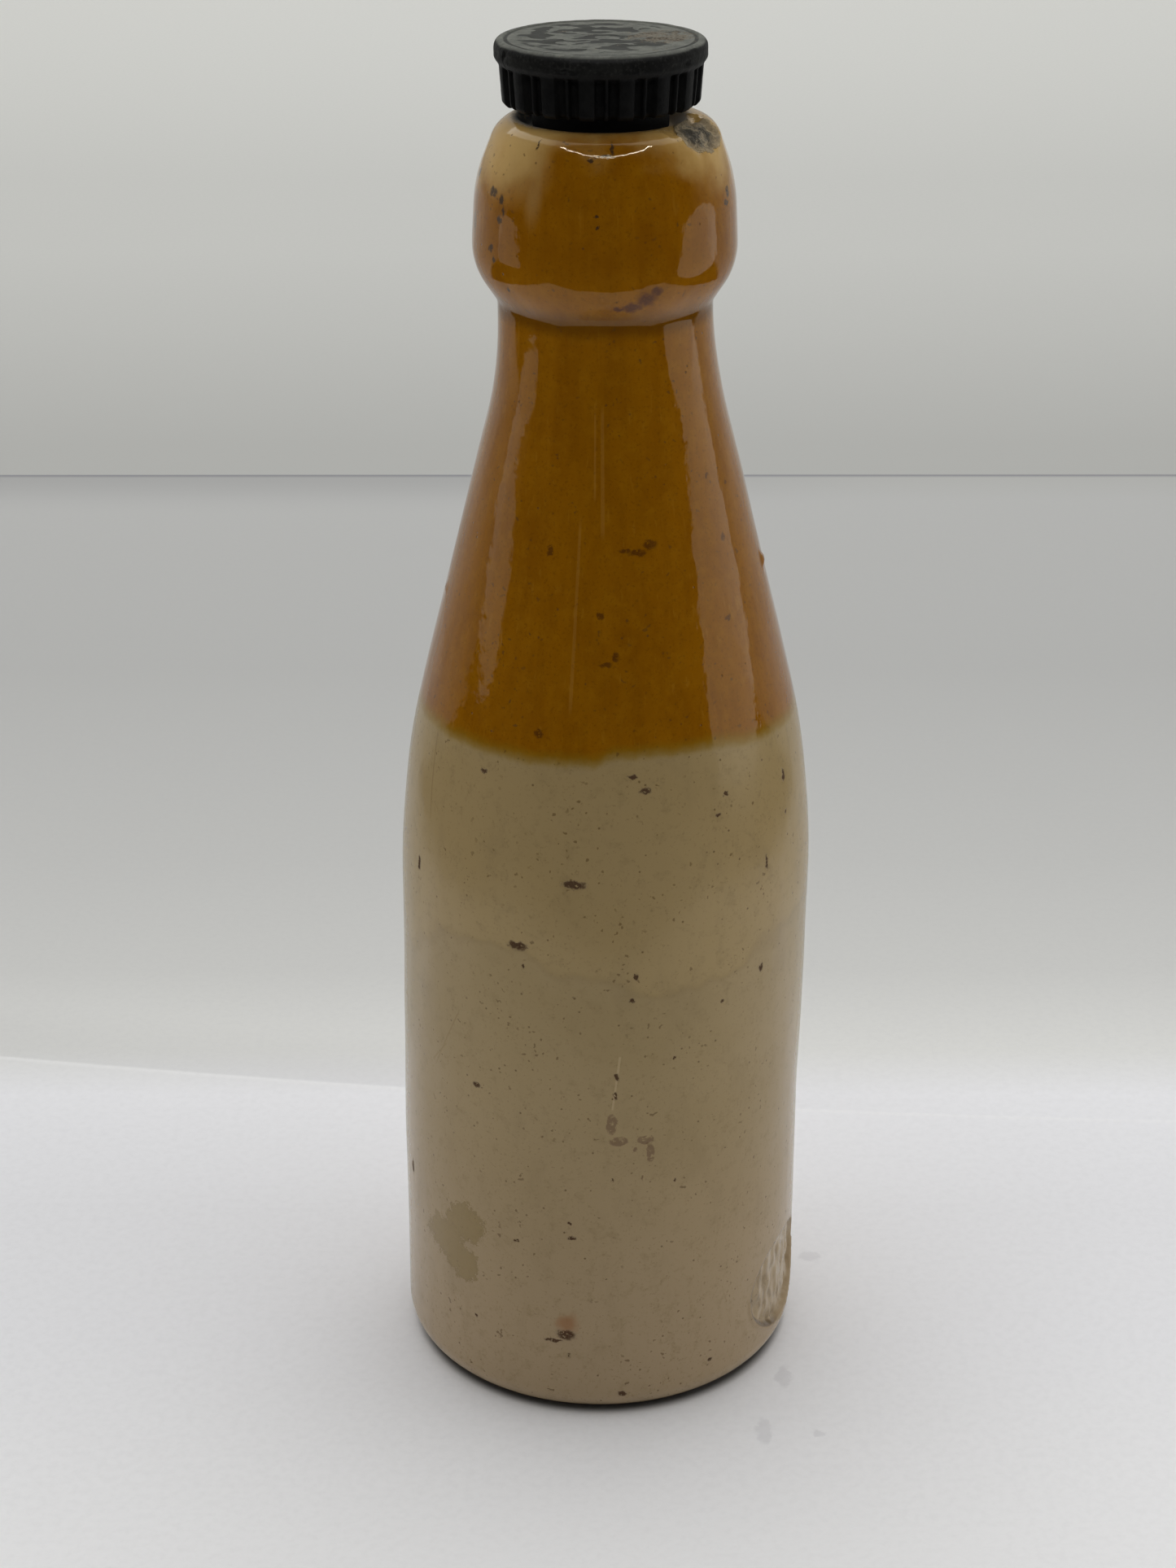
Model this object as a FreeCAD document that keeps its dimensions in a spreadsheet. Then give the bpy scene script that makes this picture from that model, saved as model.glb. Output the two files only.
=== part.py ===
import FreeCAD, Part
import math
import os
import Sketcher

# A stoneware ginger beer bottle with its screw stopper and rubber washer, in millimetres.
# The origin is the middle of the foot on the surface that the bottle stands on, +Z runs up the
# axis and -Y is the side that faces the viewer. The bottle is one thrown and fired piece, the
# stopper is one moulded piece of hard rubber, and the washer sits round the stopper's neck.

Vector = FreeCAD.Vector

# Every size that can be chosen by itself is named here once. The shoulder's height is measured
# up from the foot, and what belongs to the neck and lip hangs down from the crest by its drop.
DRIVING_SIZES = {
    # Bottle, outside, from the foot up. A corner is where two straight flanks would meet, and its
    # round blends them.
    "body_radius": 33.8,
    "bottle_height": 212.2,
    "foot_ring_radius": 23.0,
    "foot_hollow": 1.2,
    "foot_round": 5.0,
    "shoulder_height": 106.0,
    "shoulder_round": 150.0,
    "waist_radius": 16.6,
    "waist_drop": 37.3,
    "waist_round": 72.0,
    "undercut_drop": 27.6,
    "undercut_round": 1.9,
    "lip_radius": 20.35,
    "lip_low_drop": 21.9,
    "lip_low_round": 10.5,
    "lip_taper": 0.7,
    "lip_top_drop": 9.2,
    "lip_top_round": 7.2,
    "crest_radius": 16.2,
    "crest_round": 3.6,
    # Bottle, inside.
    "wall": 6.5,
    "base_thickness": 9.0,
    "cavity_foot_bevel": 6.0,
    "neck_cavity_step": 0.6,
    "crest_width": 3.4,
    "dish_depth": 1.8,
    "seat_width": 1.6,
    "mouth_relief": 0.3,
    "mouth_depth": 2.2,
    "neck_bore_length": 22.0,
    # Oval stamp pressed into the clay near the foot. Its angle runs from the front to the right.
    "stamp_angle": 65.7,
    "stamp_height": 15.2,
    "stamp_half_width": 9.5,
    "stamp_half_height": 8.2,
    "stamp_depth": 0.7,
    # Chip broken out of the lip, as a row of shallow scoops.
    "chip_angle": 61.0,
    "chip_spacing": 15.0,
    "chip_climb": 0.65,
    "chip_depth": 1.0,
    "chip_scoop_radius": 9.0,
    # Rubber washer.
    "washer_thickness": 3.7,
    "washer_overlap": 0.8,
    "washer_clearance": 0.05,
    # Stopper, from the tip of its shank up. The shank is as wide as the tips of its screw thread.
    "shank_length": 26.0,
    "shank_radius": 8.9,
    "shank_clearance": 0.3,
    "shank_lead_width": 2.4,
    "shank_lead_height": 4.0,
    "ring_neck_depth": 1.9,
    "ring_neck_extra": 1.6,
    "head_radius": 15.3,
    "head_thickness": 9.5,
    "head_taper": 0.4,
    "head_chamfer": 0.5,
    "bead_thickness": 3.5,
    "bead_overhang": 0.58,
    "bead_rise": 1.0,
    "bead_bevel": 0.9,
    "rim_groove_inset": 1.6,
    "rim_groove_depth": 0.3,
    # Grip: broad ribs with one thin fin in each flute between them.
    "rib_count": 16,
    "rib_turn": 3.15,
    "rib_share": 0.4,
    "flute_depth": 1.1,
    "fin_width": 0.6,
}

CHIP_SCOOPS = 3


def fill_sheet(document):
    """Put every driving size in a spreadsheet cell of its own and name the cell after it."""
    sheet = document.addObject("Spreadsheet::Sheet", "Sizes")
    for row, (name, number) in enumerate(DRIVING_SIZES.items(), start=1):
        sheet.set(f"A{row}", name)
        sheet.set(f"B{row}", str(number))
        sheet.setAlias(f"B{row}", name)
    document.recompute()
    return sheet


def linked(expression):
    """Point the plain size names of an expression at their cells in the sheet."""
    words = expression.split()
    return " ".join(f"Sizes.{word}" if word in DRIVING_SIZES else word for word in words)


def origin_feature(body, role):
    return next(feature for feature in body.Origin.OriginFeatures if feature.Role == role)


def new_body(document, label):
    body = document.addObject("PartDesign::Body", label)
    body.Label = label
    return body


def new_sketch(body, name, role):
    sketch = body.newObject("Sketcher::SketchObject", name)
    sketch.AttachmentSupport = [(origin_feature(body, role), "")]
    sketch.MapMode = "FlatFace"
    return sketch


class Outline:
    """A closed loop of straight flanks in a sketch, with corners placed by named sizes."""

    def __init__(self, sketch, corners):
        self.sketch = sketch
        self.corners = [(linked(across), linked(up), linked(rounding) if rounding else None)
                        for across, up, rounding in corners]
        self.places = [Vector(self.value(across), self.value(up), 0)
                       for across, up, _ in self.corners]
        self.draw()

    def value(self, expression):
        return float(self.sketch.evalExpression(expression))

    def bind(self, kind, expression, *where):
        index = self.sketch.addConstraint(Sketcher.Constraint(kind, *where, self.value(expression)))
        self.sketch.setExpression(f"Constraints[{index}]", expression)

    def round_ends(self, index):
        """Where the round of a corner leaves the flank before it and joins the flank after it."""
        here = self.places[index]
        before = (self.places[index - 1] - here).normalize()
        after = (self.places[(index + 1) % len(self.places)] - here).normalize()
        rounding = self.corners[index][2]
        if rounding is None:
            return here, here, None
        radius = self.value(rounding)
        half_angle = before.getAngle(after) / 2
        reach = radius / math.tan(half_angle)
        centre = here + (before + after).normalize() * (radius / math.sin(half_angle))
        return here + before * reach, here + after * reach, centre

    def draw(self):
        ends = [self.round_ends(index) for index in range(len(self.places))]
        count = len(self.places)
        flanks = [self.sketch.addGeometry(Part.LineSegment(ends[i][1], ends[(i + 1) % count][0]), False)
                  for i in range(count)]
        for index, (start, stop, centre) in enumerate(ends):
            flank_in, flank_out = flanks[index - 1], flanks[index]
            if centre is None:
                self.join_sharp(index, flank_in, flank_out)
            else:
                self.join_round(index, flank_in, flank_out, start, stop, centre)

    def join_sharp(self, index, flank_in, flank_out):
        self.sketch.addConstraint(Sketcher.Constraint("Coincident", flank_in, 2, flank_out, 1))
        self.place_point(index, flank_out, 1)

    def join_round(self, index, flank_in, flank_out, start, stop, centre):
        radius = (start - centre).Length
        first = math.atan2(start.y - centre.y, start.x - centre.x)
        last = math.atan2(stop.y - centre.y, stop.x - centre.x)
        turns_left = (last - first) % (2 * math.pi) < math.pi
        if not turns_left:
            first, last = last, first
        circle = Part.Circle(centre, Vector(0, 0, 1), radius)
        arc = self.sketch.addGeometry(Part.ArcOfCircle(circle, first, last), False)
        arc_in, arc_out = (1, 2) if turns_left else (2, 1)
        self.sketch.addConstraint(Sketcher.Constraint("Tangent", flank_in, 2, arc, arc_in))
        self.sketch.addConstraint(Sketcher.Constraint("Tangent", arc, arc_out, flank_out, 1))
        corner = self.sketch.addGeometry(Part.Point(self.places[index]), True)
        self.sketch.addConstraint(Sketcher.Constraint("PointOnObject", corner, 1, flank_in))
        self.sketch.addConstraint(Sketcher.Constraint("PointOnObject", corner, 1, flank_out))
        self.place_point(index, corner, 1)
        self.bind("Radius", self.corners[index][2], arc)

    def place_point(self, index, geometry, end):
        across, up, _ = self.corners[index]
        vertical_axis, horizontal_axis = -2, -1
        if across == "0":
            self.sketch.addConstraint(Sketcher.Constraint("PointOnObject", geometry, end, vertical_axis))
        else:
            self.bind("DistanceX", across, geometry, end)
        if up == "0":
            self.sketch.addConstraint(Sketcher.Constraint("PointOnObject", geometry, end, horizontal_axis))
        else:
            self.bind("DistanceY", up, geometry, end)


def turned(body, kind, name, corners):
    """Turn a section round the axis, as a Revolution that adds clay or a Groove that cuts it."""
    sketch = new_sketch(body, f"{name}_section", "XZ_Plane")
    Outline(sketch, corners)
    feature = body.newObject(f"PartDesign::{kind}", name)
    feature.Profile = sketch
    feature.ReferenceAxis = (origin_feature(body, "Z_Axis"), [""])
    feature.Angle = 360
    return feature


# Heights and widths that several features share, worked out from the driving sizes.
SEAT_HEIGHT = "bottle_height - dish_depth"
HEAD_HEIGHT = f"{SEAT_HEIGHT} + washer_thickness"
TOP_HEIGHT = f"{HEAD_HEIGHT} + head_thickness"
BEAD_HEIGHT = f"{TOP_HEIGHT} - bead_thickness"
TIP_HEIGHT = f"{HEAD_HEIGHT} - shank_length"
RING_NECK_FLOOR = f"{SEAT_HEIGHT} - ring_neck_extra"
BORE_RADIUS = "shank_radius + shank_clearance"
MOUTH_RADIUS = f"{BORE_RADIUS} + mouth_relief"
MOUTH_FLOOR = f"{SEAT_HEIGHT} - mouth_depth"
NECK_FLOOR = f"{MOUTH_FLOOR} - neck_bore_length"
RING_NECK_RADIUS = "shank_radius - ring_neck_depth"
BEAD_RADIUS = "head_radius + bead_overhang"
# How far a cutting section runs past the surface that it cuts.
OVERRUN = "1.5"


def make_bottle(document):
    bottle = new_body(document, "stoneware_bottle")
    turned(bottle, "Revolution", "thrown_wall", [
        ("0", "foot_hollow", None),
        ("foot_ring_radius", "0", None),
        ("body_radius", "0", "foot_round"),
        ("body_radius", "shoulder_height", "shoulder_round"),
        ("waist_radius", "bottle_height - waist_drop", "waist_round"),
        ("waist_radius", "bottle_height - undercut_drop", "undercut_round"),
        ("lip_radius", "bottle_height - lip_low_drop", "lip_low_round"),
        ("lip_radius - lip_taper", "bottle_height - lip_top_drop", "lip_top_round"),
        ("crest_radius", "bottle_height", "crest_round"),
        ("crest_radius - crest_width", "bottle_height", None),
        (f"{MOUTH_RADIUS} + seat_width", SEAT_HEIGHT, None),
        (MOUTH_RADIUS, SEAT_HEIGHT, None),
        (MOUTH_RADIUS, MOUTH_FLOOR, None),
        (BORE_RADIUS, f"{MOUTH_FLOOR} - mouth_relief", None),
        (BORE_RADIUS, NECK_FLOOR, None),
        (f"{BORE_RADIUS} + neck_cavity_step", f"{NECK_FLOOR} - neck_cavity_step", None),
        ("body_radius - wall", "shoulder_height", None),
        ("body_radius - wall", "base_thickness + cavity_foot_bevel", None),
        ("body_radius - wall - cavity_foot_bevel", "base_thickness", None),
        ("0", "base_thickness", None),
    ])
    document.recompute()
    press_stamp(document, bottle)
    chip_lip(bottle)
    return bottle


def press_stamp(document, bottle):
    """Press an oval into the wall, with a floor that follows the wall's curve."""
    tool = new_body(document, "stamp_tool")
    sketch = new_sketch(tool, "stamp_outline", "XZ_Plane")
    upright = Vector(0, 1, 0)
    sketch.AttachmentOffset = FreeCAD.Placement(Vector(), FreeCAD.Rotation(upright, 45))
    sketch.setExpression("AttachmentOffset.Rotation.Angle", linked("stamp_angle"))
    oval_round = "0.95 * min( stamp_half_width ; stamp_half_height )"
    Outline(sketch, [
        ("stamp_half_width", "stamp_height - stamp_half_height", oval_round),
        ("stamp_half_width", "stamp_height + stamp_half_height", oval_round),
        ("-1 * stamp_half_width", "stamp_height + stamp_half_height", oval_round),
        ("-1 * stamp_half_width", "stamp_height - stamp_half_height", oval_round),
    ])
    plug = tool.newObject("PartDesign::Pad", "stamp_plug")
    plug.Profile = sketch
    plug.setExpression("Length", linked(f"body_radius + {OVERRUN}"))
    turned(tool, "Groove", "stamp_floor", [
        ("0", f"stamp_height - stamp_half_height - {OVERRUN}", None),
        ("body_radius - stamp_depth", f"stamp_height - stamp_half_height - {OVERRUN}", None),
        ("body_radius - stamp_depth", f"stamp_height + stamp_half_height + {OVERRUN}", None),
        ("0", f"stamp_height + stamp_half_height + {OVERRUN}", None),
    ])
    document.recompute()
    recess = bottle.newObject("PartDesign::Boolean", "stamp")
    recess.Type = "Cut"
    recess.setObjects([tool])
    document.recompute()


def chip_lip(bottle):
    """Break a chip out of the slope between lip and crest, with shallow scoops side by side."""
    slope_run = "( lip_radius - lip_taper - crest_radius )"
    across = f"( lip_radius - lip_taper - {slope_run} * chip_climb )"
    up = "( bottle_height - lip_top_drop * ( 1 - chip_climb ) )"
    tilt = f"atan( {slope_run} / lip_top_drop )"
    reach = "( chip_scoop_radius - chip_depth )"
    out = f"( {across} + {reach} * cos( {tilt} ) )"
    for number in range(CHIP_SCOOPS):
        scoop = bottle.newObject("PartDesign::SubtractiveSphere", f"chip_{number + 1}")
        scoop.AttachmentSupport = [(origin_feature(bottle, "XY_Plane"), "")]
        scoop.MapMode = "FlatFace"
        scoop.setExpression("Radius", linked("chip_scoop_radius"))
        turn = f"( chip_angle - 90 + ( {number} - 1 ) * chip_spacing )"
        scoop.setExpression("AttachmentOffset.Base.x", linked(f"{out} * cos( {turn} )"))
        scoop.setExpression("AttachmentOffset.Base.y", linked(f"{out} * sin( {turn} )"))
        scoop.setExpression("AttachmentOffset.Base.z", linked(f"{up} + {reach} * sin( {tilt} )"))


def make_washer(document):
    washer = new_body(document, "seal_ring")
    bore = f"{RING_NECK_RADIUS} + washer_clearance"
    outside = f"{MOUTH_RADIUS} + washer_overlap"
    turned(washer, "Revolution", "washer", [
        (bore, SEAT_HEIGHT, None),
        (outside, SEAT_HEIGHT, None),
        (outside, HEAD_HEIGHT, None),
        (bore, HEAD_HEIGHT, None),
    ])
    return washer


def make_stopper(document):
    stopper = new_body(document, "screw_stopper")
    turned(stopper, "Revolution", "moulding", [
        ("0", TIP_HEIGHT, None),
        ("shank_radius - shank_lead_width", TIP_HEIGHT, None),
        ("shank_radius", f"{TIP_HEIGHT} + shank_lead_height", None),
        ("shank_radius", RING_NECK_FLOOR, None),
        (RING_NECK_RADIUS, RING_NECK_FLOOR, None),
        (RING_NECK_RADIUS, HEAD_HEIGHT, None),
        ("head_radius - head_taper - head_chamfer", HEAD_HEIGHT, None),
        ("head_radius - head_taper", f"{HEAD_HEIGHT} + head_chamfer", None),
        ("head_radius", BEAD_HEIGHT, None),
        (BEAD_RADIUS, f"{BEAD_HEIGHT} + bead_rise", None),
        (BEAD_RADIUS, f"{TOP_HEIGHT} - bead_bevel", None),
        (f"{BEAD_RADIUS} - bead_bevel", TOP_HEIGHT, None),
        (f"{BEAD_RADIUS} - rim_groove_inset + rim_groove_depth", TOP_HEIGHT, None),
        (f"{BEAD_RADIUS} - rim_groove_inset", f"{TOP_HEIGHT} - rim_groove_depth", None),
        (f"{BEAD_RADIUS} - rim_groove_inset - rim_groove_depth", TOP_HEIGHT, None),
        ("0", TOP_HEIGHT, None),
    ])
    document.recompute()
    cut_grip(stopper)
    return stopper


def cut_grip(stopper):
    """Cut the flutes of the grip, two to each broad rib, so that a fin is left between them."""
    sketch = new_sketch(stopper, "flute_outline", "XY_Plane")
    sketch.AttachmentOffset = FreeCAD.Placement(Vector(), FreeCAD.Rotation(Vector(0, 0, 1), 1))
    sketch.setExpression("AttachmentOffset.Rotation.Angle", linked("rib_turn"))
    sketch.setExpression("AttachmentOffset.Base.z", linked(HEAD_HEIGHT))
    floor = "( head_radius - head_taper - flute_depth )"
    outside = f"( {BEAD_RADIUS} + {OVERRUN} )"
    edge = "( 180 * ( 1 - rib_share ) / rib_count )"
    for side in ("1", "-1"):
        Outline(sketch, [
            (floor, f"{side} * fin_width / 2", None),
            (outside, f"{side} * fin_width / 2", None),
            (f"{outside} * cos( {edge} )", f"{side} * {outside} * sin( {edge} )", None),
            (f"{floor} * cos( {edge} )", f"{side} * {floor} * sin( {edge} )", None),
        ])
    flute = stopper.newObject("PartDesign::Pocket", "flute")
    flute.Profile = sketch
    flute.Reversed = True
    flute.setExpression("Length", linked(f"{BEAD_HEIGHT} - ( {HEAD_HEIGHT} )"))
    grip = stopper.newObject("PartDesign::PolarPattern", "grip")
    grip.Originals = [flute]
    grip.Axis = (origin_feature(stopper, "Z_Axis"), [""])
    grip.Angle = 360
    grip.setExpression("Occurrences", linked("rib_count"))
    stopper.Tip = grip


def check_objects(document):
    """Stop if anything in the document failed to build."""
    for item in document.Objects:
        if {"Invalid", "Error"} & set(item.State):
            raise RuntimeError(f"{item.Label} failed: {item.State}")


def write_parts(bodies):
    os.makedirs("parts", exist_ok=True)
    for body in bodies:
        if body.Shape.isNull() or not body.Shape.isValid():
            raise RuntimeError(f"{body.Label} is not a valid solid")
        body.Shape.exportStep(f"parts/{body.Label}.step")
        print(body.Label, round(body.Shape.Volume), "mm3,", len(body.Shape.Solids), "solid")


def main():
    document = FreeCAD.newDocument("ginger_beer_bottle")
    fill_sheet(document)
    bodies = [make_bottle(document), make_washer(document), make_stopper(document)]
    document.recompute()
    check_objects(document)
    write_parts(bodies)


main()
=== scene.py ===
# %% [markdown]
# # A stoneware ginger beer bottle
#
# Half a pint of brewed ginger beer was sold in a bottle like this one. It was thrown on a wheel,
# fired hard, and dipped twice: once in a clear glaze that leaves the clay a pale cream, and then
# head down in an ochre glaze that stops in a line at the shoulder. A stopper of hard black rubber
# screws into the neck and squeezes a soft washer against the mouth.
#
# The script dresses a finished model in three steps. It turns its own finer meshes for the three
# pieces, it builds their materials out of nodes, and it sets up the paper, the lights and the
# camera. Lengths are in millimetres until a mesh is made.

# %% Load the model that this scene dresses
import math

import bpy
import numpy as np
from mathutils import Matrix, Vector, noise


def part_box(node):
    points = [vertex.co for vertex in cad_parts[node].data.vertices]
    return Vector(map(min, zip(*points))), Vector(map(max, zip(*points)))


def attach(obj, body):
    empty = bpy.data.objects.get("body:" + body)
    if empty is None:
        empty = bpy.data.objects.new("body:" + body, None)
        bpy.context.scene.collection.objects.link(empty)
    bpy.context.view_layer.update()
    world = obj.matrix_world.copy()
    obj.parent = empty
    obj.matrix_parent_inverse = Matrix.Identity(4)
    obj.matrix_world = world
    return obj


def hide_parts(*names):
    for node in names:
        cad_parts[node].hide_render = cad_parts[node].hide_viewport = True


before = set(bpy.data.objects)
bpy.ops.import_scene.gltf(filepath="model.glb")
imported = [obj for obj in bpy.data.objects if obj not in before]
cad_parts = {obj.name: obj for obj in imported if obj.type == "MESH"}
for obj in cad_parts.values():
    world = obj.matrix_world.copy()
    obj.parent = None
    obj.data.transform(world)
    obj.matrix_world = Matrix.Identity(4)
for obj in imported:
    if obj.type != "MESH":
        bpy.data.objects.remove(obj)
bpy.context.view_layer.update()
MM = 0.001
_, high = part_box("stoneware_bottle")
HEIGHT = high[2] / MM
BODY_RADIUS = high[0] / MM
print("pieces:", sorted(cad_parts))
print("bottle:", round(HEIGHT, 1), "mm tall, with a radius of", round(BODY_RADIUS, 1), "mm")

# %% [markdown]
# ## Turning a surface
#
# Every piece here came off a wheel, a lathe or a round mould, so one idea makes them all: a
# section is walked from end to end, and each point of it is carried round the axis. The section
# is written as a potter would draw it, with straight flanks and a radius at each corner.
#
# A Screw modifier could spin the section too. But a real pot is never quite round, so every
# point is also pushed along the surface's own outward direction by an amount that depends on
# where it is, and that is easiest while the points are being made.

# %% Walk a section with rounded corners
def rounded(corners, steps=24):
    """Return the points of a run of flanks. Each corner is (across, up, radius)."""
    places = [Vector(corner[:2]) for corner in corners]
    path = [places[0]]
    for index in range(1, len(corners) - 1):
        here, radius = places[index], corners[index][2]
        to_last = (places[index - 1] - here).normalized()
        to_next = (places[index + 1] - here).normalized()
        if radius == 0:
            path.append(here)
            continue
        half = to_last.angle(to_next) / 2
        middle = here + (to_last + to_next).normalized() * radius / math.sin(half)
        first = here + to_last * radius / math.tan(half) - middle
        last = here + to_next * radius / math.tan(half) - middle
        for step in range(steps + 1):
            spoke = first.slerp(last, step / steps)
            path.append(middle + spoke * radius / spoke.length)
    path.append(places[-1])
    return np.array([tuple(point) for point in path])


# %% Space out the points of a section
def spaced(path, gap, samples=6000):
    """Walk a path again so that each step is as long as gap() allows there."""
    steps = np.hypot(*np.diff(path, axis=0).T)
    keep = np.concatenate([[True], steps > 1e-6])
    path = path[keep]
    length = np.concatenate([[0], np.cumsum(np.hypot(*np.diff(path, axis=0).T))])
    fine = np.linspace(0, length[-1], samples)
    across = np.interp(fine, length, path[:, 0])
    up = np.interp(fine, length, path[:, 1])
    count = np.concatenate([[0], np.cumsum(np.diff(fine) / gap(across, up)[1:])])
    stops = np.linspace(0, count[-1], int(count[-1]) + 2)
    return np.stack([np.interp(stops, count, across), np.interp(stops, count, up)], axis=1)


# %% Carry a section round the axis
def turned(name, path, turns, push, closed=False):
    """Carry a section round the axis, and move each point as push() says. Turns are in degrees
    from the front towards the right. A closed section ends where it starts."""
    before = np.roll(path, 1, axis=0) if closed else np.vstack([path[:1], path[:-1]])
    after = np.roll(path, -1, axis=0) if closed else np.vstack([path[1:], path[-1:]])
    along = after - before
    along /= np.maximum(np.hypot(*along.T), 1e-9)[:, None]
    across, turn = np.meshgrid(path[:, 0], np.radians(turns), indexing="ij")
    up = np.meshgrid(path[:, 1], turns, indexing="ij")[0]
    out, lift, sideways = push(across, up, turn, along[:, 1][:, None], -along[:, 0][:, None])
    radius = np.maximum(across + out, 0)
    x = radius * np.sin(turn) + sideways
    y = -radius * np.cos(turn)
    points = np.stack([x, y, up + lift], axis=-1)
    rows, columns = across.shape
    index = np.arange(rows * columns).reshape(rows, columns)
    below, above = (index, np.roll(index, -1, axis=0)) if closed else (index[:-1], index[1:])
    below_next, above_next = np.roll(below, -1, axis=1), np.roll(above, -1, axis=1)
    faces = np.stack([below, below_next, above_next, above], axis=-1)
    mesh = bpy.data.meshes.new(name)
    mesh.from_pydata((points.reshape(-1, 3) * MM).tolist(), [], faces.reshape(-1, 4).tolist())
    mesh.validate()
    mesh.update()
    mesh.shade_smooth()
    piece = bpy.data.objects.new(name, mesh)
    bpy.context.scene.collection.objects.link(piece)
    return piece


# %% A gentle rise, and soft unevenness
def smooth(value, start, end):
    """Rise gently from 0 at start to 1 at end."""
    share = np.clip((value - start) / (end - start), 0, 1)
    return share * share * (3 - 2 * share)


def rough(across, up, turn, size, stretch=1.0, seed=0.0):
    """Soft unevenness between about -1 and 1, in lumps of the given size in millimetres."""
    x = across * np.sin(turn) / size
    y = across * np.cos(turn) / size
    z = up / size / stretch + seed
    flat = np.stack([x.ravel(), y.ravel(), z.ravel()], axis=1).tolist()
    return np.array([noise.noise(Vector(point)) for point in flat]).reshape(x.shape)


# %% [markdown]
# ## The bottle
#
# The potter pulled the wall up thick, drew in the cone, and rolled the heavy blob round the mouth
# so that the screw thread inside it would not crack. Pressing the maker's stamp near the foot
# dented the wall, and one knock in a long life broke a chip out of the rim.
#
# Both could be cut out with booleans. Pushing the points of a finely spaced wall inward leaves
# softer edges and no stray faces, so the wall is spaced finely there and widely elsewhere.

# %% The bottle's section, in millimetres
CREST_RADIUS = 16.2
CREST_WIDTH = 3.4
SEAT_HEIGHT = HEIGHT - 1.8
BORE_RADIUS = 7.8
MOUTH_RADIUS = 9.5
MOUTH_FLOOR = SEAT_HEIGHT - 2.2
NECK_FLOOR = MOUTH_FLOOR - 22
WALL = 6.5
BASE = 9
SHOULDER_HEIGHT = 106
NECK_RADIUS = 16.6
SKIN = 0.6

OUTSIDE = [
    (0, 1.2, 0),  # the foot is hollow
    (23, 0, 0.8),  # the inner edge of the foot
    (BODY_RADIUS, 0, 5),  # its outer edge, worn round
    (BODY_RADIUS, SHOULDER_HEIGHT, 150),  # the long bend of the shoulder
    (NECK_RADIUS, HEIGHT - 37.3, 72),  # the cone runs out into the neck
    (NECK_RADIUS, HEIGHT - 27.6, 1.9),  # the crease under the lip
    (20.35, HEIGHT - 21.9, 10.5),  # the lower round of the lip
    (19.65, HEIGHT - 9.2, 24),  # its upper round
    (CREST_RADIUS, HEIGHT, 4.4),
    (CREST_RADIUS - CREST_WIDTH, HEIGHT, 0.5),
]
INSIDE = [
    (MOUTH_RADIUS + 1.6, SEAT_HEIGHT, 0),  # the seat for the washer
    (MOUTH_RADIUS, SEAT_HEIGHT, 0.3),
    (MOUTH_RADIUS, MOUTH_FLOOR, 0),
    (BORE_RADIUS, MOUTH_FLOOR - 1.4, 0),  # the bore that the thread is cut in
    (BORE_RADIUS, NECK_FLOOR, 0),
    (BORE_RADIUS + 2, NECK_FLOOR - 2, 0),
    (BODY_RADIUS - WALL, SHOULDER_HEIGHT, 90),
    (BODY_RADIUS - WALL, BASE, BASE),  # the round where the wall meets the base
    (0, BASE, 0),
]
outside_path = rounded(OUTSIDE)
climb = outside_path[:np.argmax(outside_path[:, 1] >= HEIGHT - 0.01)]
print("section:", len(OUTSIDE) + len(INSIDE), "corners")


def wall_radius(up):
    """The outside radius of the bottle at a height."""
    return np.interp(up, climb[2:, 1], climb[2:, 0])


def is_outside(across, up):
    """True in the skin on the outside of the bottle, and false in its cavity."""
    return across > wall_radius(up) - SKIN


# %% How far the bottle leans at each height, and where things sit on its wall
LEAN_HEIGHTS = [0, 45, 90, 135, 170, 184, 205, HEIGHT]
LEAN = [-0.11, 0.03, 0.88, 1.06, 1.15, 0.63, 0.6, 0.95]
LEAN_SAMPLES = 600
LEAN_SOFTENING = 30


def lean(up):
    """A thrown pot is never quite straight: this is the sideways drift of its middle."""
    grid = np.linspace(0, HEIGHT, LEAN_SAMPLES)
    drift = np.interp(grid, LEAN_HEIGHTS, LEAN)
    kernel = np.hanning(2 * LEAN_SOFTENING + 1)
    kernel /= kernel.sum()
    soft = np.convolve(np.pad(drift, LEAN_SOFTENING, mode="edge"), kernel, mode="valid")
    return np.interp(up, grid, soft)


def on_wall(turn, up):
    """The point of the bottle's outside at a turn from the front and a height, in metres."""
    radius = float(wall_radius(up))
    angle = math.radians(turn)
    return Vector((radius * math.sin(angle) + float(lean(up)), -radius * math.cos(angle), up)) * MM


print("lean at the lip:", round(float(lean(HEIGHT)), 2), "mm to the right")

# %% The stamp, the chip and the other marks in the clay
STAMP_TURN = 68.5
STAMP_HEIGHT = 14.6
STAMP_HALF_WIDTH = 11.0
STAMP_HALF_HEIGHT = 8.8
STAMP_DEPTH = 0.85
CHIP_TURN = 63.5
CHIP_HEIGHT = HEIGHT - 0.5
CHIP_HALF_WIDTH = 6.7
CHIP_HALF_HEIGHT = 3.2
CHIP_DEPTH = 0.85
BLISTERS = [(81.8, 143.1, 1.0, 0.9), (-82.9, 138.2, 0.7, 0.5)]
THREAD_PITCH = 4
THREAD_DEPTH = 1.4
THREAD_HALF_WIDTH = 1.1


def arc_from(turn, middle, radius):
    """The distance round the wall between two turns, in millimetres."""
    return (np.degrees(turn) - middle + 180) % 360 * np.pi / 180 * radius - np.pi * radius


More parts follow.
